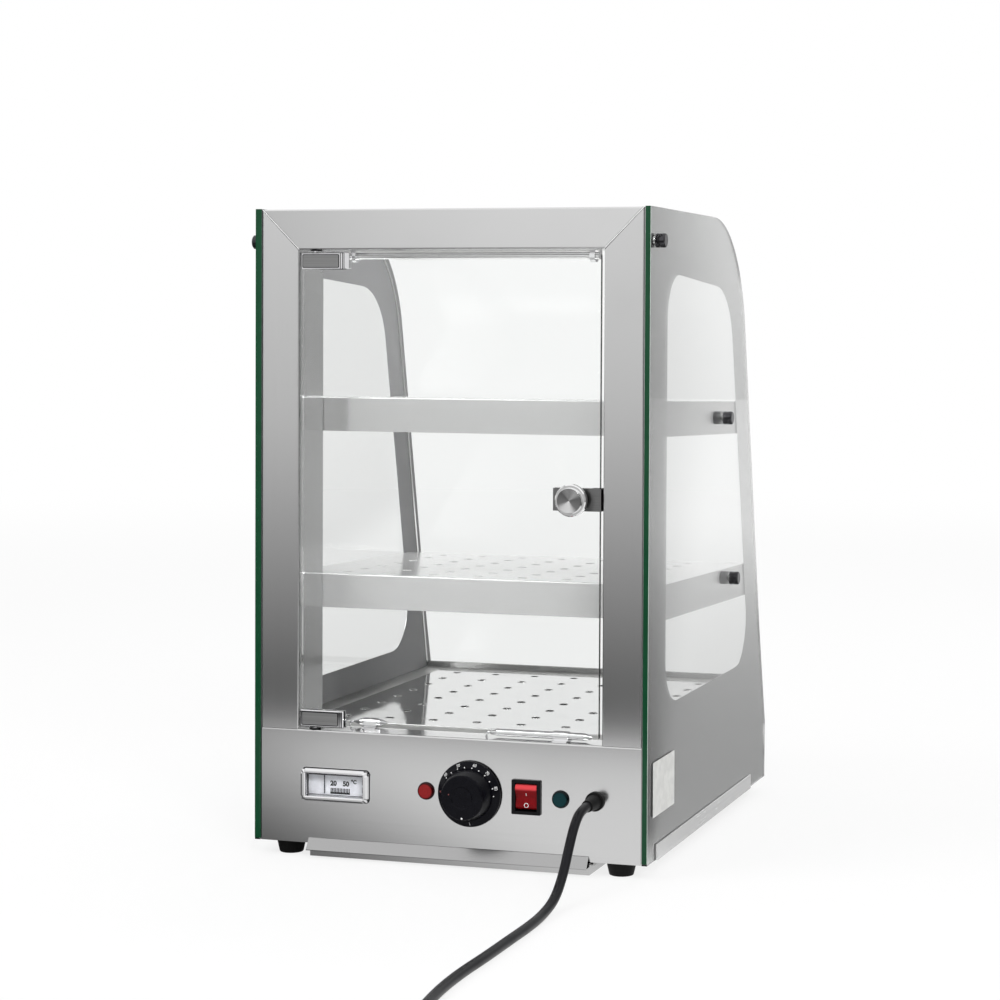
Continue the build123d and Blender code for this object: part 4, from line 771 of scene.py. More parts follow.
@dataclass
class Layout:
    """A Geometry Nodes tree that sets one shape on many points and gives all of it one material."""

    bench: NodeBench
    sizes: Mapping[str, NodeSocket]
    leave: Node

    @classmethod
    def start(cls, name: str, inputs: Mapping[str, Kind]) -> Layout:
        """An empty tree with named inputs.

        Args:
            name: the tree's name.
            inputs: what kind each input is, apart from the material.

        Returns:
            The tree's layout.
        """
        tree = bpy.data.node_groups.new(name, "GeometryNodeTree")
        for way in ("INPUT", "OUTPUT"):
            tree.interface.new_socket(name="Geometry", in_out=way, socket_type="NodeSocketGeometry")
        for title, kind in {**inputs, "Material": Kind.MATERIAL}.items():
            tree.interface.new_socket(name=title, in_out="INPUT", socket_type=kind.value)
        bench = NodeBench(tree)
        return cls(bench, bench.add("NodeGroupInput").outputs, bench.add("NodeGroupOutput"))

    def add(self, kind: str, **inputs: object) -> NodeSocket:
        """First output of a geometry node, with its inputs' names written without spaces."""
        named = {title.replace("_", " "): value for title, value in inputs.items()}
        return self.bench.add(f"GeometryNode{kind}", inputs=named).outputs[0]

    def upright(self, shape: NodeSocket) -> NodeSocket:
        """A flat shape turned to face -Y."""
        return self.add("Transform", Geometry=shape, Rotation=(UPRIGHT, 0.0, 0.0))

    def finish(self, points: NodeSocket, shape: NodeSocket, **move: NodeSocket) -> NodeTree:
        """Set the shape on the points and end in Realize Instances and Set Material.

        Args:
            points: where the shape goes.
            shape: what goes there.
            move: translation and rotation of the whole, if any.

        Returns:
            The finished tree.
        """
        laid = self.add("InstanceOnPoints", Points=points, Instance=shape)
        if move:
            laid = self.add("Transform", Geometry=laid, **move)
        real = self.add("RealizeInstances", Geometry=laid)
        dressed = self.add("SetMaterial", Geometry=real, Material=self.sizes["Material"])
        self.bench.feed(self.leave.inputs["Geometry"], dressed)
        return self.bench.tree


def rim_tree() -> NodeTree:
    """Rows and columns of round rims, as on a punched plate."""
    plan = Layout.start("PunchedRims", {
        "Columns": Kind.COUNT, "Rows": Kind.COUNT, "Pitch": Kind.SIZE, "Hole Radius": Kind.SIZE,
        "Rim": Kind.SIZE, "Centre": Kind.PLACE, "Tilt": Kind.PLACE})
    sizes, maths = plan.sizes, plan.bench.maths
    across, along = (maths("MULTIPLY", maths("SUBTRACT", sizes[count], 1.0), sizes["Pitch"])
                     for count in ("Columns", "Rows"))
    grid = plan.add("MeshGrid", Size_X=across, Size_Y=along,
                    Vertices_X=sizes["Columns"], Vertices_Y=sizes["Rows"])
    ring = plan.add("CurvePrimitiveCircle", Resolution=20, Radius=sizes["Hole Radius"])
    wire = plan.add("CurvePrimitiveCircle", Resolution=6, Radius=sizes["Rim"])
    rim = plan.add("CurveToMesh", Curve=ring, Profile_Curve=wire)
    return plan.finish(grid, rim, Translation=sizes["Centre"], Rotation=sizes["Tilt"])


def tick_tree() -> NodeTree:
    """A row of upright ticks in the XZ plane, facing -Y."""
    plan = Layout.start("ScaleTicks", {
        "Count": Kind.COUNT, "Pitch": Kind.SIZE, "Width": Kind.SIZE, "Height": Kind.SIZE,
        "Start": Kind.PLACE})
    sizes = plan.sizes
    step = plan.bench.add("ShaderNodeCombineXYZ", inputs={"X": sizes["Pitch"]})
    row = plan.bench.add("GeometryNodeMeshLine", mode="OFFSET", inputs={
        "Count": sizes["Count"], "Start Location": sizes["Start"], "Offset": step.outputs[0]})
    tick = plan.add("MeshGrid", Size_X=sizes["Width"], Size_Y=sizes["Height"], Vertices_X=2, Vertices_Y=2)
    return plan.finish(row.outputs[0], plan.upright(tick))


def dot_tree() -> NodeTree:
    """Round dots along an arc in the XZ plane, facing -Y."""
    plan = Layout.start("ArcDots", {
        "Count": Kind.COUNT, "Radius": Kind.SIZE, "Dot": Kind.SIZE, "First": Kind.SIZE, "Step": Kind.SIZE,
        "Centre": Kind.PLACE})
    sizes, bench = plan.sizes, plan.bench
    turn = bench.maths("MULTIPLY_ADD", plan.add("InputIndex"), sizes["Step"], sizes["First"])
    across, up = (bench.maths("MULTIPLY", bench.maths(part, turn), sizes["Radius"])
                  for part in ("SINE", "COSINE"))
    spot = bench.add("ShaderNodeCombineXYZ", inputs={"X": across, "Z": up})
    place = bench.vectors("ADD", spot.outputs[0], sizes["Centre"])
    moved = plan.add("SetPosition", Geometry=plan.add("MeshLine", Count=sizes["Count"]), Position=place)
    disc = bench.add("GeometryNodeMeshCircle", fill_type="NGON", inputs={
        "Vertices": 14, "Radius": sizes["Dot"]})
    return plan.finish(moved, plan.upright(disc.outputs[0]))


# Sub-assemblies


@dataclass
class Workshop:
    """The CAD nodes, and what the sub-assemblies share: effects, finishes and rows of strokes."""

    nodes: dict[str, Object]
    effects: SharedEffects = field(default_factory=SharedEffects)
    made: dict[str, Material] = field(default_factory=dict)
    stroke_rows: Repeater = field(default_factory=lambda: Repeater(tick_tree()))

    def finish(self, look: Finish) -> Material:
        """The material of a finish, made at its first use."""
        if look.name not in self.made:
            self.made[look.name] = look.build(self.effects)
        return self.made[look.name]

    def dress(self, look: Finish, *names: str) -> None:
        """Give CAD nodes a finish in every one of their material slots."""
        material = self.finish(look)
        for name in names:
            for slot in self.nodes[name].material_slots:
                slot.material = material
            LOG.info("dressed %s in %s", name, look.name)

    def add(self, piece: Object, body: str, slot: str) -> Object:
        """Let a finished piece ride on a body."""
        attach(piece, body)
        LOG.info("added %s on %s", piece.name, body)
        return piece

    def strokes(self, name: str, start: Point, size: tuple[float, float], look: Finish,
                count: int = 1, pitch: float = MM) -> Object:
        """A row of upright strokes.

        Args:
            name: the piece's name.
            start: middle of the first stroke.
            size: width and height of each.
            look: their finish.
            count: how many there are.
            pitch: from one to the next, along X.

        Returns:
            The linked object.
        """
        return self.stroke_rows.make(name, {
            "Count": count, "Pitch": pitch, "Width": size[0], "Height": size[1], "Start": start,
            "Material": self.finish(look)})


class Looks:
    """The finishes of the case by their names."""

    panel = BrushedSteel("panel_steel", Direction.X, grey(0.72), roughness=0.15)
    header = BrushedSteel("header_steel", Direction.X, grey(0.76))
    # The stile returns and the tray's level faces are painted darker, painted shade; the level faces of both
    # shelves are painted lighter, painted highlight.
    stile = BrushedSteel("steel_brushed_up", Direction.Z, grey(0.76), 0.22, anisotropy=0.95, painted_facing_tone=0.98)
    shelf = BrushedSteel("shelf_steel", Direction.X, grey(0.80), aside=Direction.Z, painted_facing_tone=1.12,
                         metallic=0.87)
    low_shelf = BrushedSteel("lower_shelf_steel", Direction.X, grey(0.86), aside=Direction.Z,
                             painted_facing_tone=1.04, metallic=0.58)
    tray = BrushedSteel("tray_steel", Direction.X, grey(0.62), 0.24, aside=Direction.Z, painted_facing_tone=0.72)
    rail = BrushedSteel("rail_steel", Direction.Y, grey(0.90), 0.25, streaks=0.04, metallic=0.5)
    inner = BrushedSteel("inner_sheet", Direction.X, (0.62, 0.62, 0.61), 0.36, anisotropy=0.4)
    dark = BrushedSteel("heat_tinted_steel", Direction.Y, (0.27, 0.25, 0.23), 0.42, anisotropy=0.2)
    clip = BrushedSteel("clip_inlay", Direction.X, grey(0.36), 0.34, streaks=0.12)
    catch = BrushedSteel("catch_plate", Direction.X, grey(0.24), 0.3, streaks=0.08)
    deck = BrightMetal("deck_mirror", grey(0.82), 0.07, waves=0.0002, wave_size=0.06)
    chrome = BrightMetal("chrome", (0.84, 0.84, 0.85), 0.05, waves=0.00002, wave_size=0.01)
    # Chrome darkened all over for the side bolts: a painted reflection of dark surroundings.
    bolt = BrightMetal("chrome_painted_dark", (0.07, 0.07, 0.075), 0.12, waves=0.00005, wave_size=0.003)
    zinc = BrightMetal("zinc_plate", (0.66, 0.67, 0.68), 0.28, waves=0.00003, wave_size=0.004)
    lamp_glass = BrightMetal("lamp_tube", grey(0.90), 0.1, waves=0.00002, wave_size=0.01)
    side_glass = FloatGlass("side_glass", across=Direction.X)
    door_glass = FloatGlass("door_glass", across=Direction.Y, edge=(0.10, 0.22, 0.15))
    rear_glass = FloatGlass("rear_glass", across=Direction.X, curved=True, edge=(0.05, 0.13, 0.08), ior=1.22)
    silver = SilverPrint("silver_print")
    print_back = SilverPrint("print_back", (0.27, 0.27, 0.275), roughness=0.5, metallic=0.0)
    # Pale strip on the right glass's bevel: a painted highlight.
    painted_bevel_highlight = Moulded("painted_glass_bevel_highlight", (0.62, 0.72, 0.65), 0.2, grain=0.0008, depth=0.000002)
    green = Moulded("polished_glass_edge", (0.003, 0.047, 0.018), 0.15, grain=0.0008, depth=0.000002,
                    specular=0.25)
    rubber = Moulded("black_rubber", grey(0.004), 0.5, grain=0.0005, depth=0.00003, specular=0.15)
    lead = Moulded("lead_sheath", (0.003, 0.003, 0.005), 0.32, grain=0.0005, depth=0.00001, specular=0.22)
    plastic = Moulded("black_plastic", (0.003, 0.003, 0.004), 0.3, grain=0.0003, specular=0.15)
    dial = Moulded("dial_black", (0.002, 0.002, 0.004), 0.2, depth=0.00001, specular=0.11)
    label = Moulded("bare_plate", (0.72, 0.72, 0.70), 0.5, grain=0.0008)
    pointer = Moulded("pointer", (0.06, 0.06, 0.075), 0.45, specular=0.2)
    cream = Moulded("cream_insulation", (0.74, 0.70, 0.60), 0.5)
    card = Ink("scale_card", (0.78, 0.78, 0.83), grain=0.0005)
    white_ink = Ink("white_ink", grey(0.80))
    grey_ink = Ink("grey_ink", (0.30, 0.30, 0.31))
    # White line along the mitres: a painted highlight.
    painted_mitre_highlight = Ink("painted_mitre_highlight_line", grey(0.95))
    red_ink = Ink("red_ink", (0.14, 0.03, 0.03))
    black_ink = Ink("black_ink", (0.004, 0.004, 0.006), specular=0.1)
    rocker = ClearRed("rocker_red")
    cover = ClearCover("gauge_window")


@dataclass
class SteelCase:
    """The folded steel frame, the base and what is fixed to them."""

    shop: Workshop
    opening_half: float = 147.0 * MM

    def dress(self) -> None:
        """Give the steel pieces, and what is fixed to them, their finishes."""
        wear = {
            Looks.header: ("header",),
            Looks.panel: ("control_panel",),
            Looks.shelf: ("upper_shelf", "rear_glass_channel"),
            Looks.low_shelf: ("lower_shelf",),
            Looks.tray: ("drip_tray",),
            Looks.stile: ("left_stile", "right_stile"),
            Looks.rail: ("side_rails",),
            Looks.inner: ("base_pan", "rear_panel", "header_back_plate", "heater_tray", "shelf_brackets",
                          "tray_runners", "element_supports"),
            Looks.dark: ("heating_element",),
            Looks.rubber: ("feet",),
            Looks.label: ("blank_plate",),
            Looks.zinc: ("side_bolt_nuts", "frame_screws", "knob_screw", "thermostat_shaft"),
            Looks.bolt: ("side_bolts",),
            Looks.chrome: ("thermostat_probe", "thermometer_probe", "probe_clips", "lamp_holders"),
            Looks.plastic: ("hinge_bushes", "magnet_catch", "lamp_bodies", "thermostat_body",
                            "thermometer_body"),
            Looks.cream: ("terminal_block", "wiring"),
            Looks.lamp_glass: ("lamp_tube",)}
        for look, names in wear.items():
            self.shop.dress(look, *names)

    def joint_lines(self) -> None:
        """Lay a dark groove and a painted highlight line along each mitre of the frame."""
        low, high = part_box("header")
        # The groove is a dark joint; the white line beside it is a painted highlight.
        lines = {"groove": (Looks.black_ink, -0.75 * MM, 1.5 * MM, 2.6 * MM, 0.04 * MM),
                 "painted_mitre_highlight_line": (Looks.painted_mitre_highlight, -0.1 * MM, 0.6 * MM, 1.3 * MM, 0.07 * MM)}
        faces = ((0, 1, 2, 3), (4, 7, 6, 5), (0, 4, 5, 1), (1, 5, 6, 2), (2, 6, 7, 3), (3, 7, 4, 0))
        for side, word in ((-1, "left"), (1, "right")):
            inner = Vector((side * self.opening_half, low.z))
            outer = Vector((side * high.x, high.z))
            along = (outer - inner).normalized()
            across = Vector((-along.y, along.x)) * side
            for name, (look, start, narrow, wide, lift) in lines.items():
                corners = [inner + across * start, outer + across * start,
                           outer + across * (start + wide), inner + across * (start + narrow)]
                points = [(max(low.x, min(high.x, corner.x)), low.y - out, min(high.z, corner.y))
                          for out in (0.0, lift) for corner in corners]
                piece = mesh_piece(f"{word}_mitre_{name}", points, faces, self.shop.finish(look))
                self.shop.add(piece, "cabinet", "case_steel")


@dataclass
class PunchedPlates:
    """The shelves and the deck plate, with a rolled rim round each hole."""

    shop: Workshop
    pitch: float = 43.9 * MM
    columns: int = 7
    first_row: float = -138.5 * MM
    rear_margin: float = 12.0 * MM
    hole_radius: float = 4.0 * MM
    rim: float = 0.35 * MM
    shelf_slope: float = math.radians(1.6)
    shelf_front: float = -161.8 * MM

    def build(self) -> None:
        """Dress the deck and roll a rim round each hole."""
        self.shop.dress(Looks.deck, "deck_plate")
        maker = Repeater(rim_tree())
        plates = {"deck_plate": (7, 0.0, 119.5 * MM, Looks.deck, "deck_steel"),
                  "upper_shelf": (5, self.shelf_slope, 425.5 * MM, Looks.shelf, "case_steel"),
                  "lower_shelf": (6, self.shelf_slope, 258.0 * MM, Looks.low_shelf, "case_steel")}
        for node, (rows, slope, height, look, slot) in plates.items():
            _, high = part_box(node)
            while self.first_row + (rows - 1) * self.pitch > high.y - self.rear_margin:
                rows -= 1
            middle = self.first_row + (rows - 1) * self.pitch / 2
            drop = (middle - self.shelf_front) * math.tan(slope)
            piece = maker.make(f"{node}_rims", {
                "Columns": self.columns, "Rows": rows, "Pitch": self.pitch,
                "Hole Radius": self.hole_radius + self.rim / 2, "Rim": self.rim,
                "Centre": (0.0, middle, height - drop), "Tilt": (-slope, 0.0, 0.0),
                "Material": self.shop.finish(look)})
            self.shop.add(piece, "cabinet", slot)


@dataclass
class Glazing:
    """Side glasses with their silver borders, and the bent rear glass."""

    shop: Workshop
    inner_face: float = 185.0 * MM
    outer_face: float = 190.0 * MM
    air: float = 0.08 * MM
    strip_gap: float = 1.0 * MM
    strip_foot: float = 1.5 * MM
    strip_thick: float = 0.3 * MM
    bevel: float = 0.35 * MM

    def dress(self) -> None:
        """Give the panes their glass and let light pass them."""
        self.shop.dress(Looks.side_glass, "left_side_glass", "right_side_glass")
        self.shop.dress(Looks.rear_glass, "rear_glass")
        for name in ("left_side_glass", "right_side_glass", "rear_glass", "door_glass"):
            self.shop.nodes[name].visible_shadow = False

    def prints(self) -> None:
        """Lay the silver print a hair inside the glass, bright outwards and dark inwards."""
        work = bmesh.new()
        work.from_mesh(self.shop.nodes["side_borders"].data)
        bmesh.ops.remove_doubles(work, verts=work.verts, dist=0.001 * MM)
        bmesh.ops.recalc_face_normals(work, faces=work.faces)
        for face in work.faces:
            face.material_index = int(face.normal.x * face.calc_center_median().x < 0)
        for point in work.verts:
            if abs(point.co.x) > self.inner_face - self.air:
                point.co.x = math.copysign(self.inner_face - self.air, point.co.x)
        data = bpy.data.meshes.new("silver_prints")
        work.to_mesh(data)
        work.free()
        for look in (Looks.silver, Looks.print_back):
            data.materials.append(self.shop.finish(look))
        piece = self.shop.add(link(bpy.data.objects.new("silver_prints", data)), "cabinet", "silver_print")
        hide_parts("side_borders")

    def edge_strips(self) -> None:
        """Cover the front edges of the side glasses with their polished green arris, and the right glass's
        outer bevel with a pale strip, a painted highlight.
        """
        low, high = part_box("right_side_glass")
        profile = ((0.0, 0.0), (0.3, 0.85), (0.8, 1.0), (1.0, 0.8), (1.0, 0.0))
        bevel_start = self.outer_face - self.bevel
        # The pale strip on the right glass's bevel is a painted highlight.
        bands = {"left_glass_arris": (-1, self.inner_face - self.strip_gap, self.outer_face, Looks.green),
                 "right_glass_arris": (1, self.inner_face, bevel_start, Looks.green),
                 "right_glass_bevel": (1, bevel_start, self.outer_face, Looks.painted_bevel_highlight)}
        for name, (side, start, end, look) in bands.items():
            points = [(side * (start + share * (end - start)), low.y - rise * self.strip_thick, z)
                      for z in (low.z + self.strip_foot, high.z) for share, rise in profile]
            count = len(profile)
            faces = [(k, (k + 1) % count, (k + 1) % count + count, k + count) for k in range(count)]
            faces += [tuple(range(count)), tuple(range(count, 2 * count))]
            piece = mesh_piece(name, points, faces, self.shop.finish(look))
            self.shop.add(piece, "cabinet", "clear_glass")


@dataclass
class Door:
    """The glass door with its clips, catch plate and knob."""

    shop: Workshop
    knob_centre: Point = (120.0 * MM, -238.0 * MM, 338.0 * MM)
    knob_face: float = 11.0 * MM
    inlay_margin: float = 2.2 * MM
    inlay_thick: float = 0.25 * MM
    groove: float = 1.3 * MM
    clip_ends: float = 3.4 * MM
    end_shade_line: float = 0.7 * MM
    cap_length: float = 5.0 * MM

    def build(self) -> None:
        """Dress the door and finish its clips."""
        turned = TurnedMetal("knob_turned", centre=self.knob_centre, face_radius=self.knob_face)
        self.shop.dress(Looks.door_glass, "door_glass")
        self.shop.dress(Looks.chrome, "top_hinge_clip", "bottom_hinge_clip", "hinge_pins")
        self.shop.dress(Looks.catch, "door_catch_plate")
        self.shop.dress(turned, "door_knob")
        pieces = self.clip_marks("top_hinge_clip") + self.clip_marks("bottom_hinge_clip")
        low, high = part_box("top_hinge_clip")
        place = (high.x + self.cap_length / 2, high.y - 0.4 * MM, (low.z + high.z) / 2)
        pieces.append(front_plate(
            "top_hinge_clip_end", place, (self.cap_length, high.z - low.z - 1.2 * MM),
            thick=high.y - low.y - 0.9 * MM, radius=0.9 * MM, material=self.shop.finish(Looks.chrome)))
        for piece in pieces:
            self.shop.add(piece, "door", "chrome_fitting")

    def clip_marks(self, node: str) -> list[Object]:
        """A brushed inlay, with painted shade lines for the groove round it and for two grooves across the
        free end.
        """
        low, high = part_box(node)
        shade_line_ink = self.shop.finish(Looks.black_ink)
        middle = ((low.x + high.x) / 2 - self.clip_ends / 2, low.y, (low.z + high.z) / 2)
        inlay = (high.x - low.x - 2 * self.inlay_margin - self.clip_ends,
                 high.z - low.z - 2 * self.inlay_margin)
        round_it = (inlay[0] + self.groove, inlay[1] + self.groove)
        # The groove round the inlay and the grooves across the end are flat black lines: painted shade.
        marks = [front_plate(f"{node}_inlay", middle, inlay, thick=self.inlay_thick, radius=1.0 * MM,
                             material=self.shop.finish(Looks.clip)),
                 outline_frame(f"{node}_inlay_shade_line", middle, round_it, radius=1.2 * MM,
                               band=0.9 * self.groove, thick=0.1 * MM, material=shade_line_ink)]
        across = (self.end_shade_line, high.z - low.z - 1.0 * MM)
        for k in range(2):
            place = (high.x - self.clip_ends + (k * 2.2 - 0.4) * MM, low.y, middle[2])
            marks.append(front_plate(f"{node}_end_groove_{k + 1}", place, across, thick=0.08 * MM,
                                     radius=0.2 * MM, material=shade_line_ink))
        return marks


@dataclass
class Thermostat:
    """The dial with its printed numbers and dots."""

    shop: Workshop
    centre: Point = (22.5 * MM, -0.25, 68.1 * MM)
    number_radius: float = 27.4 * MM
    number_height: float = 2.5 * MM
    dot_radius: float = 24.9 * MM
    numbers: tuple[tuple[str, float], ...] = (
        ("40", -52.5), ("50", -20.5), ("60", 13.0), ("70", 42.0), ("80", 75.0))

    def place(self, mesh: Mesh, turn: float, radius: float) -> Mesh:
        """Turn flat letters and move them out to their place round the dial."""
        angle = math.radians(turn)
        out = Vector((math.sin(angle), 0, math.cos(angle))) * radius
        mesh.transform(Matrix.Translation(Vector(self.centre) + out) @ Matrix.Rotation(angle, 4, "Y"))
        return mesh

    def build(self) -> None:
        """Dress the dial and print its marks."""
        self.shop.dress(Looks.dial, "thermostat_knob")
        ink = self.shop.finish(Looks.white_ink)
        letters = [self.place(lettering(text, self.number_height, ink), turn, self.number_radius)
                   for text, turn in self.numbers]
        pieces = [joined("dial_numbers", letters)]
        dots = Repeater(dot_tree())
        rows = {"dial_dots": (10, -55.0, 16.1, self.dot_radius, 0.5 * MM, Looks.white_ink),
                "dial_index": (1, 179.0, 0.0, 18.6 * MM, 0.9 * MM, Looks.white_ink),
                "dial_stop": (1, -87.0, 0.0, 26.6 * MM, 0.9 * MM, Looks.red_ink),
                "dial_start": (1, -78.0, 0.0, 12.5 * MM, 0.7 * MM, Looks.red_ink)}
        for name, (count, first, step, radius, size, look) in rows.items():
            pieces.append(dots.make(name, {
                "Count": count, "Radius": radius, "Dot": size, "First": math.radians(first),
                "Step": math.radians(step), "Centre": self.centre, "Material": self.shop.finish(look)}))
        pieces.append(self.shop.strokes("dial_index_line", beside(self.centre, 1.8 * MM, -26.6 * MM),
                                        (0.7 * MM, 3.2 * MM), Looks.grey_ink))
        drape = Drape(self.shop.nodes["thermostat_knob"])
        for piece in pieces:
            self.shop.add(drape.lay(piece), "dial", "dial_black")


@dataclass
class Gauge:
    """The thermometer: bezel, printed scale, pointer and window."""

    shop: Workshop
    centre: Point = (-109.0 * MM, -219.64 * MM, 68.1 * MM)
    lens_hidden: float = 1.2 * MM
    line_thick: float = 0.05 * MM
    bold: float = 0.08

    def build(self) -> None:
        """Dress the gauge and print its scale."""
        self.shop.dress(Looks.chrome, "thermometer_bezel")
        self.shop.dress(Looks.card, "thermometer_face")
        self.shop.dress(Looks.cover, "thermometer_lens")
        self.shop.dress(Looks.pointer, "thermometer_pointer")
        self.shop.nodes["thermometer_lens"].visible_shadow = False
        ink = self.shop.finish(Looks.black_ink)
        signs = (("20", -3.2 * MM, 1.0 * MM, 4.3 * MM), ("50", 9.2 * MM, 1.0 * MM, 4.3 * MM),
                 ("°C", 17.0 * MM, 3.2 * MM, 3.4 * MM))
        meshes = []
        for text, x, z, height in signs:
            mesh = lettering(text, height, ink, self.bold)
            mesh.transform(Matrix.Translation(beside(self.centre, x, z)))
            meshes.append(mesh)
        pieces = [joined("gauge_signs", meshes)]
        rows = {"gauge_ticks": (-5.6 * MM, -5.2 * MM, (1.02 * MM, 4.0 * MM), 13, 1.5 * MM),
                "gauge_baseline": (3.4 * MM, -7.8 * MM, (19.6 * MM, 1.8 * MM), 1, 1.0 * MM)}
        for name, (x, z, size, count, pitch) in rows.items():
            start = beside(self.centre, x, z)
            pieces.append(self.shop.strokes(name, start, size, Looks.black_ink, count, pitch))
        for piece in pieces:
            self.shop.add(piece, "cabinet", "white_card")
        self.lines()

    def lines(self) -> None:
        """Lay painted shade lines round the window and round the bezel."""
        low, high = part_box("thermometer_bezel")
        pane_low, pane_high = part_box("thermometer_lens")
        middle_x, middle_z = (low.x + high.x) / 2, (low.z + high.z) / 2
        ink = self.shop.finish(Looks.black_ink)
        window = tuple(pane_high[axis] - pane_low[axis] - 2 * self.lens_hidden for axis in (0, 2))
        bezel = tuple(high[axis] - low[axis] + 1.0 * MM for axis in (0, 2))
        # Both black frames are painted shade: in the gap round the window and round the foot of the bezel.
        for piece in (
                outline_frame("gauge_window_line", (middle_x, pane_low.y, middle_z), window,
                              radius=1.2 * MM, band=0.6 * MM, thick=self.line_thick, material=ink),
                outline_frame("gauge_bezel_line", (middle_x, high.y, middle_z), bezel,
                              radius=4.0 * MM, band=0.9 * MM, thick=self.line_thick, material=ink)):
            self.shop.add(piece, "cabinet", "black_plastic")


@dataclass
class Switch:
    """The mains switch with its two marks."""

    shop: Workshop
    centre: Point = (76.6 * MM, -0.25, 68.1 * MM)
    on_height: float = 2.6 * MM
    off_height: float = -7.4 * MM
    ring_radii: tuple[float, float] = (2.2 * MM, 1.65 * MM)
    ring_steps: int = 24

    def build(self) -> None:
        """Dress the switch and print I and O on its rocker."""
        self.shop.dress(Looks.plastic, "switch_housing")
        self.shop.dress(Looks.rocker, "switch_rocker")
        ink = self.shop.finish(Looks.white_ink)
        stroke = self.shop.strokes("rocker_on_mark", beside(self.centre, 0, self.on_height),
                                   (0.5 * MM, 2.4 * MM), Looks.white_ink)
        turns = [math.tau * k / self.ring_steps for k in range(self.ring_steps)]
        points = [(self.centre[0] + radius * math.cos(turn), self.centre[1],
                   self.centre[2] + self.off_height + radius * math.sin(turn))
                  for turn in turns for radius in self.ring_radii]
        faces = [(k, (k + 2) % len(points), (k + 3) % len(points), k + 1) for k in range(0, len(points), 2)]
        ring = mesh_piece("rocker_off_mark", points, faces, ink, closed=False)
        drape = Drape(self.shop.nodes["switch_rocker"])
        for piece in (stroke, ring):
            self.shop.add(drape.lay(piece), "rocker", "rocker_red")


@dataclass
class Indicators:
    """The red and the green lamp."""

    shop: Workshop
    height: float = 68.1 * MM
    steel_face: float = -222.0 * MM
    rim_out: float = 0.4 * MM

    def build(self) -> None:
        """Dress both lenses and lay a thin black ring of painted shade round each."""
        # Each lamp: place along X, lens colour, and the paler ring colour that is partly a painted
        # highlight.
        lamps = {"red_lamp_lens": (-20.0 * MM, (0.13, 0.003, 0.005), (0.34, 0.02, 0.02)),
                 "green_lamp_lens": (108.9 * MM, (0.0003, 0.016, 0.020), (0.001, 0.040, 0.045))}
        for node, (x, colour, ring_highlight) in lamps.items():
            self.shop.dress(SignalLens(node, colour=colour, ring_highlight=ring_highlight, centre=(x, 0.0, self.height)), node)
            low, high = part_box(node)
            size = tuple(high[axis] - low[axis] + 2 * self.rim_out for axis in (0, 2))
            # A thin black ring round the lens: painted shade where the lens meets the panel.
            rim = outline_frame(f"{node}_rim", (x, self.steel_face, self.height), size,
                                radius=size[0] / 2 - 0.01 * MM, band=0.45 * MM, thick=0.5 * MM,
                                material=self.shop.finish(Looks.plastic))
            self.shop.add(rim, "cabinet", "black_plastic")


@dataclass
class Lead:
    """The lead on its route from the gland, with its spare length in a coil and its plug."""

    shop: Workshop
    radius: float = 4.25 * MM
    gland_x: float = 141.2
    gland_tip: float = -247.0
    gland_z: float = 68.1
    floor: float = 4.30
    coil_x: float = 112.0
    coil_y: float = -803.0
    coil_side: float = 168.0
    layer: float = 9.2
    coil_radii: tuple[float, ...] = (56.0, 50.7, 45.4, 45.4, 50.7, 56.0, 68.0)
    plug_height: float = 18.55
    steps: int = 7

    def route(self) -> list[Vector]:
        """Control points from the gland to the coil, in millimetres."""
        down = ((0, 0, 0), (0, 19, 0), (0.4, 38, 8.5), (1.2, 56, 24), (2.4, 77, 44.5))
        ahead = ((4.2, 106, 4.5), (5.6, 144, 0), (7.0, 184, 0), (6.0, 232, 0), (5.4, 284, 0),
                 (3.4, 336, 0), (4.4, 382, 0), (9.0, 430, 0), (15.5, 470, 0))
        x, y, z = self.gland_x, self.gland_tip, self.gland_z
        return ([Vector((x + aside, y - out, z - drop)) for aside, out, drop in down]
                + [Vector((x + aside, y - out, self.floor + rise)) for aside, out, rise in ahead]
                + [Vector((self.coil_side, along, self.floor)) for along in (-754.5, -794.5)])

    def turns(self) -> list[Vector]:
        """Control points of the coil's turns and of its tail into the plug, in millimetres."""
        heights = [self.floor] * 3 + [self.floor + self.layer] * 3 + [self.plug_height]
        swell = 1 / math.cos(math.pi / (2 * self.steps))
        points = []
        for k in range(len(self.coil_radii) - 1):
            side = 1 if k % 2 == 0 else -1
            start = self.coil_x + side * self.coil_radii[k]
            end = self.coil_x - side * self.coil_radii[k + 1]
            middle, reach = (start + end) / 2, abs(start - end) / 2
            for step in range(self.steps):
                share = (step + 0.5) / self.steps
                points.append(Vector((
                    middle + side * reach * swell * math.cos(math.pi * share),
                    self.coil_y - side * reach * swell * math.sin(math.pi * share),
                    heights[k] + (heights[k + 1] - heights[k]) * share)))
        last = self.coil_x + self.coil_radii[-1]
        tail = (self.coil_y, self.coil_y - 2 * self.radius / MM)
        return points + [Vector((last, along, self.plug_height)) for along in tail]

    def build(self) -> None:
        points = self.route() + self.turns()
        curve = bpy.data.curves.new("supply_lead", "CURVE")
        curve.dimensions = "3D"
        spline = curve.splines.new("NURBS")
        spline.points.add(len(points) - 1)
        for point, place in zip(spline.points, points):
            point.co = (*(place * MM), 1.0)
        spline.order_u = 3
        spline.use_endpoint_u = True
        spline.resolution_u = 8
        curve.bevel_depth = self.radius
        curve.bevel_resolution = 5
        curve.materials.append(self.shop.finish(Looks.lead))
        lead = link(bpy.data.objects.new("supply_lead", curve))
        lead.visible_glossy = False
        self.shop.dress(Looks.rubber, "cord_gland", "power_plug")
        self.shop.add(lead, "cabinet", "black_rubber")
        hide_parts("power_cord", "cord_coil")


# Studio


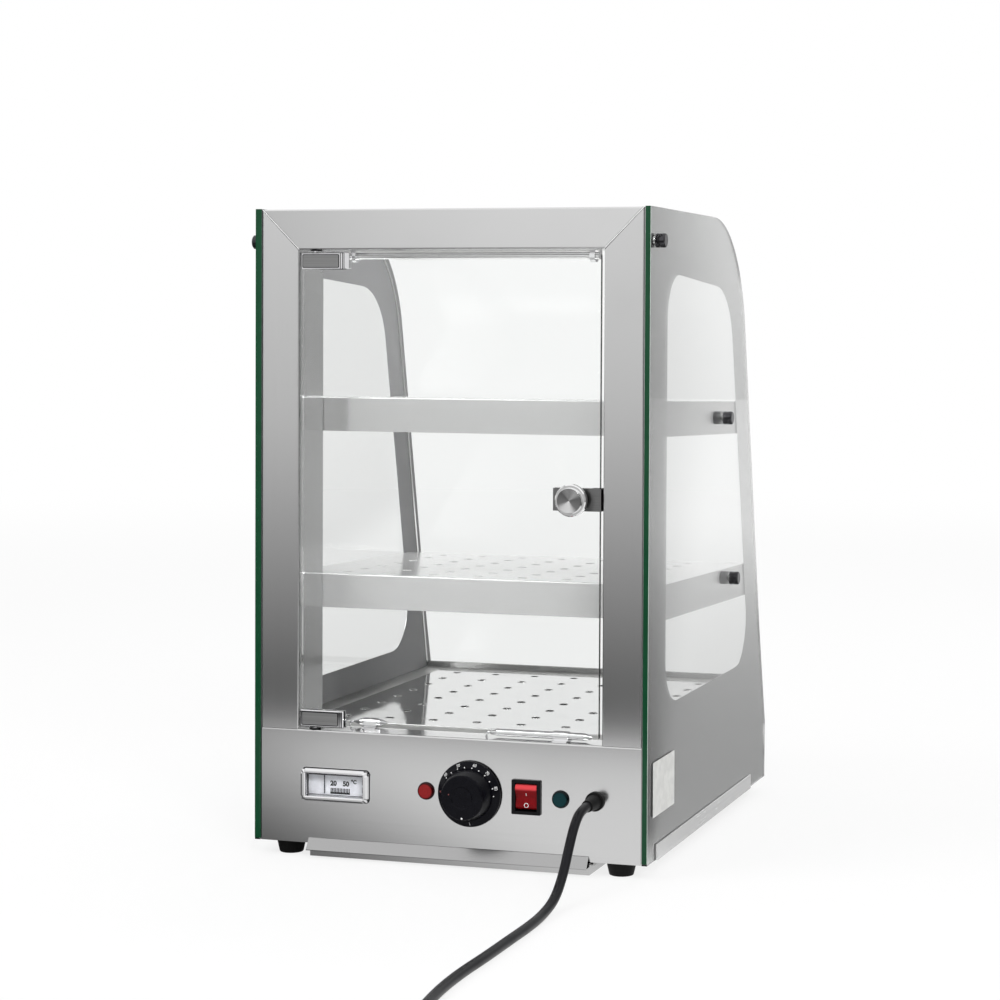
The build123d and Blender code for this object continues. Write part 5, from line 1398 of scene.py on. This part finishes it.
@dataclass
class Studio:
    """White floor and surroundings, soft lamps, and the camera at the photograph's angle.

    A span says from where to where something changes, and from what to what, or else from 0 to 1.
    """

    camera_place: Point = (0.774405, -2.330409, 0.493526)
    yaw: float = 16.656
    pitch: float = 1.714
    roll: float = 0.326
    lens: float = 89.009
    sensor: float = 36.0
    shift: tuple[float, float] = (-0.100, -0.100)
    aim: Point = (0.0, 0.0, 0.3)
    floor_half: float = 14.0
    case_front: float = -0.222
    case_side: float = 0.185
    least: float = 0.1
    slant: float = 0.9
    near_tones: Span = (-0.2, 0.22, 0.12, 0.84)
    far_tones: Span = (-0.1, 1.15, 0.06, 0.73)
    near_to_far: Span = (0.6, 0.8)
    rear_tones: Span = (0.2, 4.0, 0.40, 0.92)
    rear_to_front: Span = (-0.25, 0.0)
    right_fade: Span = (0.235, 0.29, 1.0, 0.4)
    floor_light: Span = (1.0, 5.0, 0.8, 1.0)
    floor_colour: tuple[float, ...] = (0.9, 0.9, 0.9, 1.0)
    low_sky: Span = (-0.05, 0.06, 0.70, 1.0)
    high_sky: Span = (0.3, 0.6)
    left_band: Span = (-0.45, -0.35, 0.5, 1.0)
    left_end: Span = (-0.60, -0.50, 1.0, 0.0)
    sky_light: float = 0.62

    def rays(self, bench: NodeBench) -> tuple[NodeSocket, NodeSocket]:
        """Which rays see the plain white studio, and which of them come from a mirror-like surface.

        Args:
            bench: the tree that asks.

        Returns:
            One for camera, glossy and transmission rays, and one for glossy rays alone.
        """
        path = bench.add("ShaderNodeLightPath").outputs
        camera, glossy, through = (path[ray.value] for ray in (Ray.CAMERA, Ray.GLOSSY, Ray.TRANSMISSION))
        seen = bench.maths("MAXIMUM", bench.maths("MAXIMUM", camera, glossy), through)
        mirrored = bench.maths("GREATER_THAN", path["Glossy Depth"], 0.5)
        return seen, bench.maths("MULTIPLY", mirrored, seen)

    def rightward(self, bench: NodeBench, across: NodeSocket, away: NodeSocket) -> NodeSocket:
        """Full, but lower where something lies far enough to the right for its distance."""
        aside = bench.maths("DIVIDE", across, bench.maths("MAXIMUM", away, self.least))
        return bench.remap(aside, *self.right_fade)

    def floor(self) -> None:
        """A pale floor, white to the camera and with a dark sweep in front of the case in reflections."""
        material = bpy.data.materials.new("studio_floor")
        bench = cleared(material)
        maths, remap = bench.maths, bench.remap
        place = bench.place()
        x, y = (bench.parts(place)[axis] for axis in "XY")
        ahead = maths("SUBTRACT", self.case_front, y)
        near = remap(maths("MULTIPLY_ADD", ahead, self.slant, x), *self.near_tones)
        reach = maths("LOGARITHM", maths("MAXIMUM", ahead, self.least), 10.0)
        far = remap(reach, *self.far_tones, course="LINEAR")
        front = bench.between(remap(ahead, *self.near_to_far), near, far)
        right = self.rightward(bench, maths("SUBTRACT", x, self.case_side), maths("MULTIPLY", ahead, -1.0))
        rear = maths("MULTIPLY", remap(y, *self.rear_tones), right)
        tone = bench.between(remap(ahead, *self.rear_to_front), rear, front)
        seen, mirrored = self.rays(bench)
        far_off = remap(bench.vectors("LENGTH", place, result="Value"), *self.floor_light)
        plain = bench.add("ShaderNodeBsdfDiffuse", inputs={"Color": self.floor_colour})
        bright = bench.add("ShaderNodeEmission", inputs={"Color": bench.mix(mirrored, WHITE, tone)})
        both = bench.add("ShaderNodeMixShader")
        bench.fill(both, {0: maths("MULTIPLY", seen, maths("MAXIMUM", far_off, mirrored)),
                          1: plain.outputs[0], 2: bright.outputs[0]})
        bench.add("ShaderNodeOutputMaterial", inputs={"Surface": both.outputs[0]})
        half = self.floor_half
        corners = [(-half, -half, 0), (half, -half, 0), (half, half, 0), (-half, half, 0)]
        mesh_piece("studio_floor", corners, [(0, 1, 2, 3)], material, closed=False)

    def world(self) -> None:
        """White to the camera and through glass, shaded in reflections, soft grey as a light."""
        world = bpy.data.worlds.new("studio")
        bpy.context.scene.world = world
        bench = cleared(world)
        maths, remap = bench.maths, bench.remap
        way = bench.parts(bench.add("ShaderNodeTexCoord").outputs["Generated"])
        height = remap(way["Z"], *self.low_sky, course="LINEAR")
        band = maths("MAXIMUM", remap(way["X"], *self.left_band), remap(way["X"], *self.left_end))
        side = maths("MULTIPLY", band, self.rightward(bench, way["X"], way["Y"]))
        tone = maths("MULTIPLY", height, maths("MAXIMUM", side, remap(way["Z"], *self.high_sky)))
        seen, mirrored = self.rays(bench)
        shown = bench.mix(mirrored, bench.mix(seen, grey(self.sky_light), WHITE), tone)
        background = bench.add("ShaderNodeBackground", inputs={"Color": shown})
        bench.add("ShaderNodeOutputWorld", inputs={"Surface": background.outputs[0]})

    def lamps(self) -> None:
        """Soft boxes over and beside the case, which don't show in reflections."""
        boxes = {"key_box": ((1.4, -2.2, 1.95), (0.9, 0.7), 30.0),
                 "left_box": ((-1.5, -1.5, 2.2), (1.6, 1.2), 26.0),
                 "back_box": ((0.4, 2.0, 2.4), (1.8, 1.0), 22.0)}
        for name, (place, size, power) in boxes.items():
            lamp = bpy.data.lights.new(name, "AREA")
            lamp.shape = "RECTANGLE"
            lamp.size, lamp.size_y = size
            lamp.energy = power
            holder = link(bpy.data.objects.new(name, lamp))
            holder.location = place
            holder.rotation_euler = (Vector(self.aim) - Vector(place)).to_track_quat("-Z", "Y").to_euler()
            holder.visible_glossy = False

    def camera(self) -> None:
        """The camera that took the photograph, as fitted to its straight edges."""
        data = bpy.data.cameras.new("photo_camera")
        data.sensor_width = self.sensor
        data.lens = self.lens
        data.shift_x, data.shift_y = self.shift
        holder = link(bpy.data.objects.new("photo_camera", data))
        turn = Matrix.Identity(3)
        for angle, axis in ((self.yaw, "Z"), (90 - self.pitch, "X"), (self.roll, "Z")):
            turn = turn @ Matrix.Rotation(math.radians(angle), 3, axis)
        holder.matrix_world = Matrix.Translation(self.camera_place) @ turn.to_4x4()
        bpy.context.scene.camera = holder

    def build(self) -> None:
        """Set the whole studio up."""
        self.floor()
        self.world()
        self.lamps()
        self.camera()
        bpy.context.scene.view_settings.view_transform = "Standard"


def main() -> None:
    """Load the frame, dress it, add the detail pieces and set up the studio."""
    logging.basicConfig(level=logging.INFO, format="%(name)s: %(message)s")
    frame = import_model()
    shop = Workshop(nodes=frame["nodes"])
    Studio().build()
    Lead(shop).build()
    case = SteelCase(shop)
    case.dress()
    case.joint_lines()
    PunchedPlates(shop).build()
    panes = Glazing(shop)
    panes.dress()
    panes.prints()
    panes.edge_strips()
    for assembly in (Door, Thermostat, Gauge, Switch, Indicators):
        assembly(shop).build()


if __name__ == "__main__":
    main()
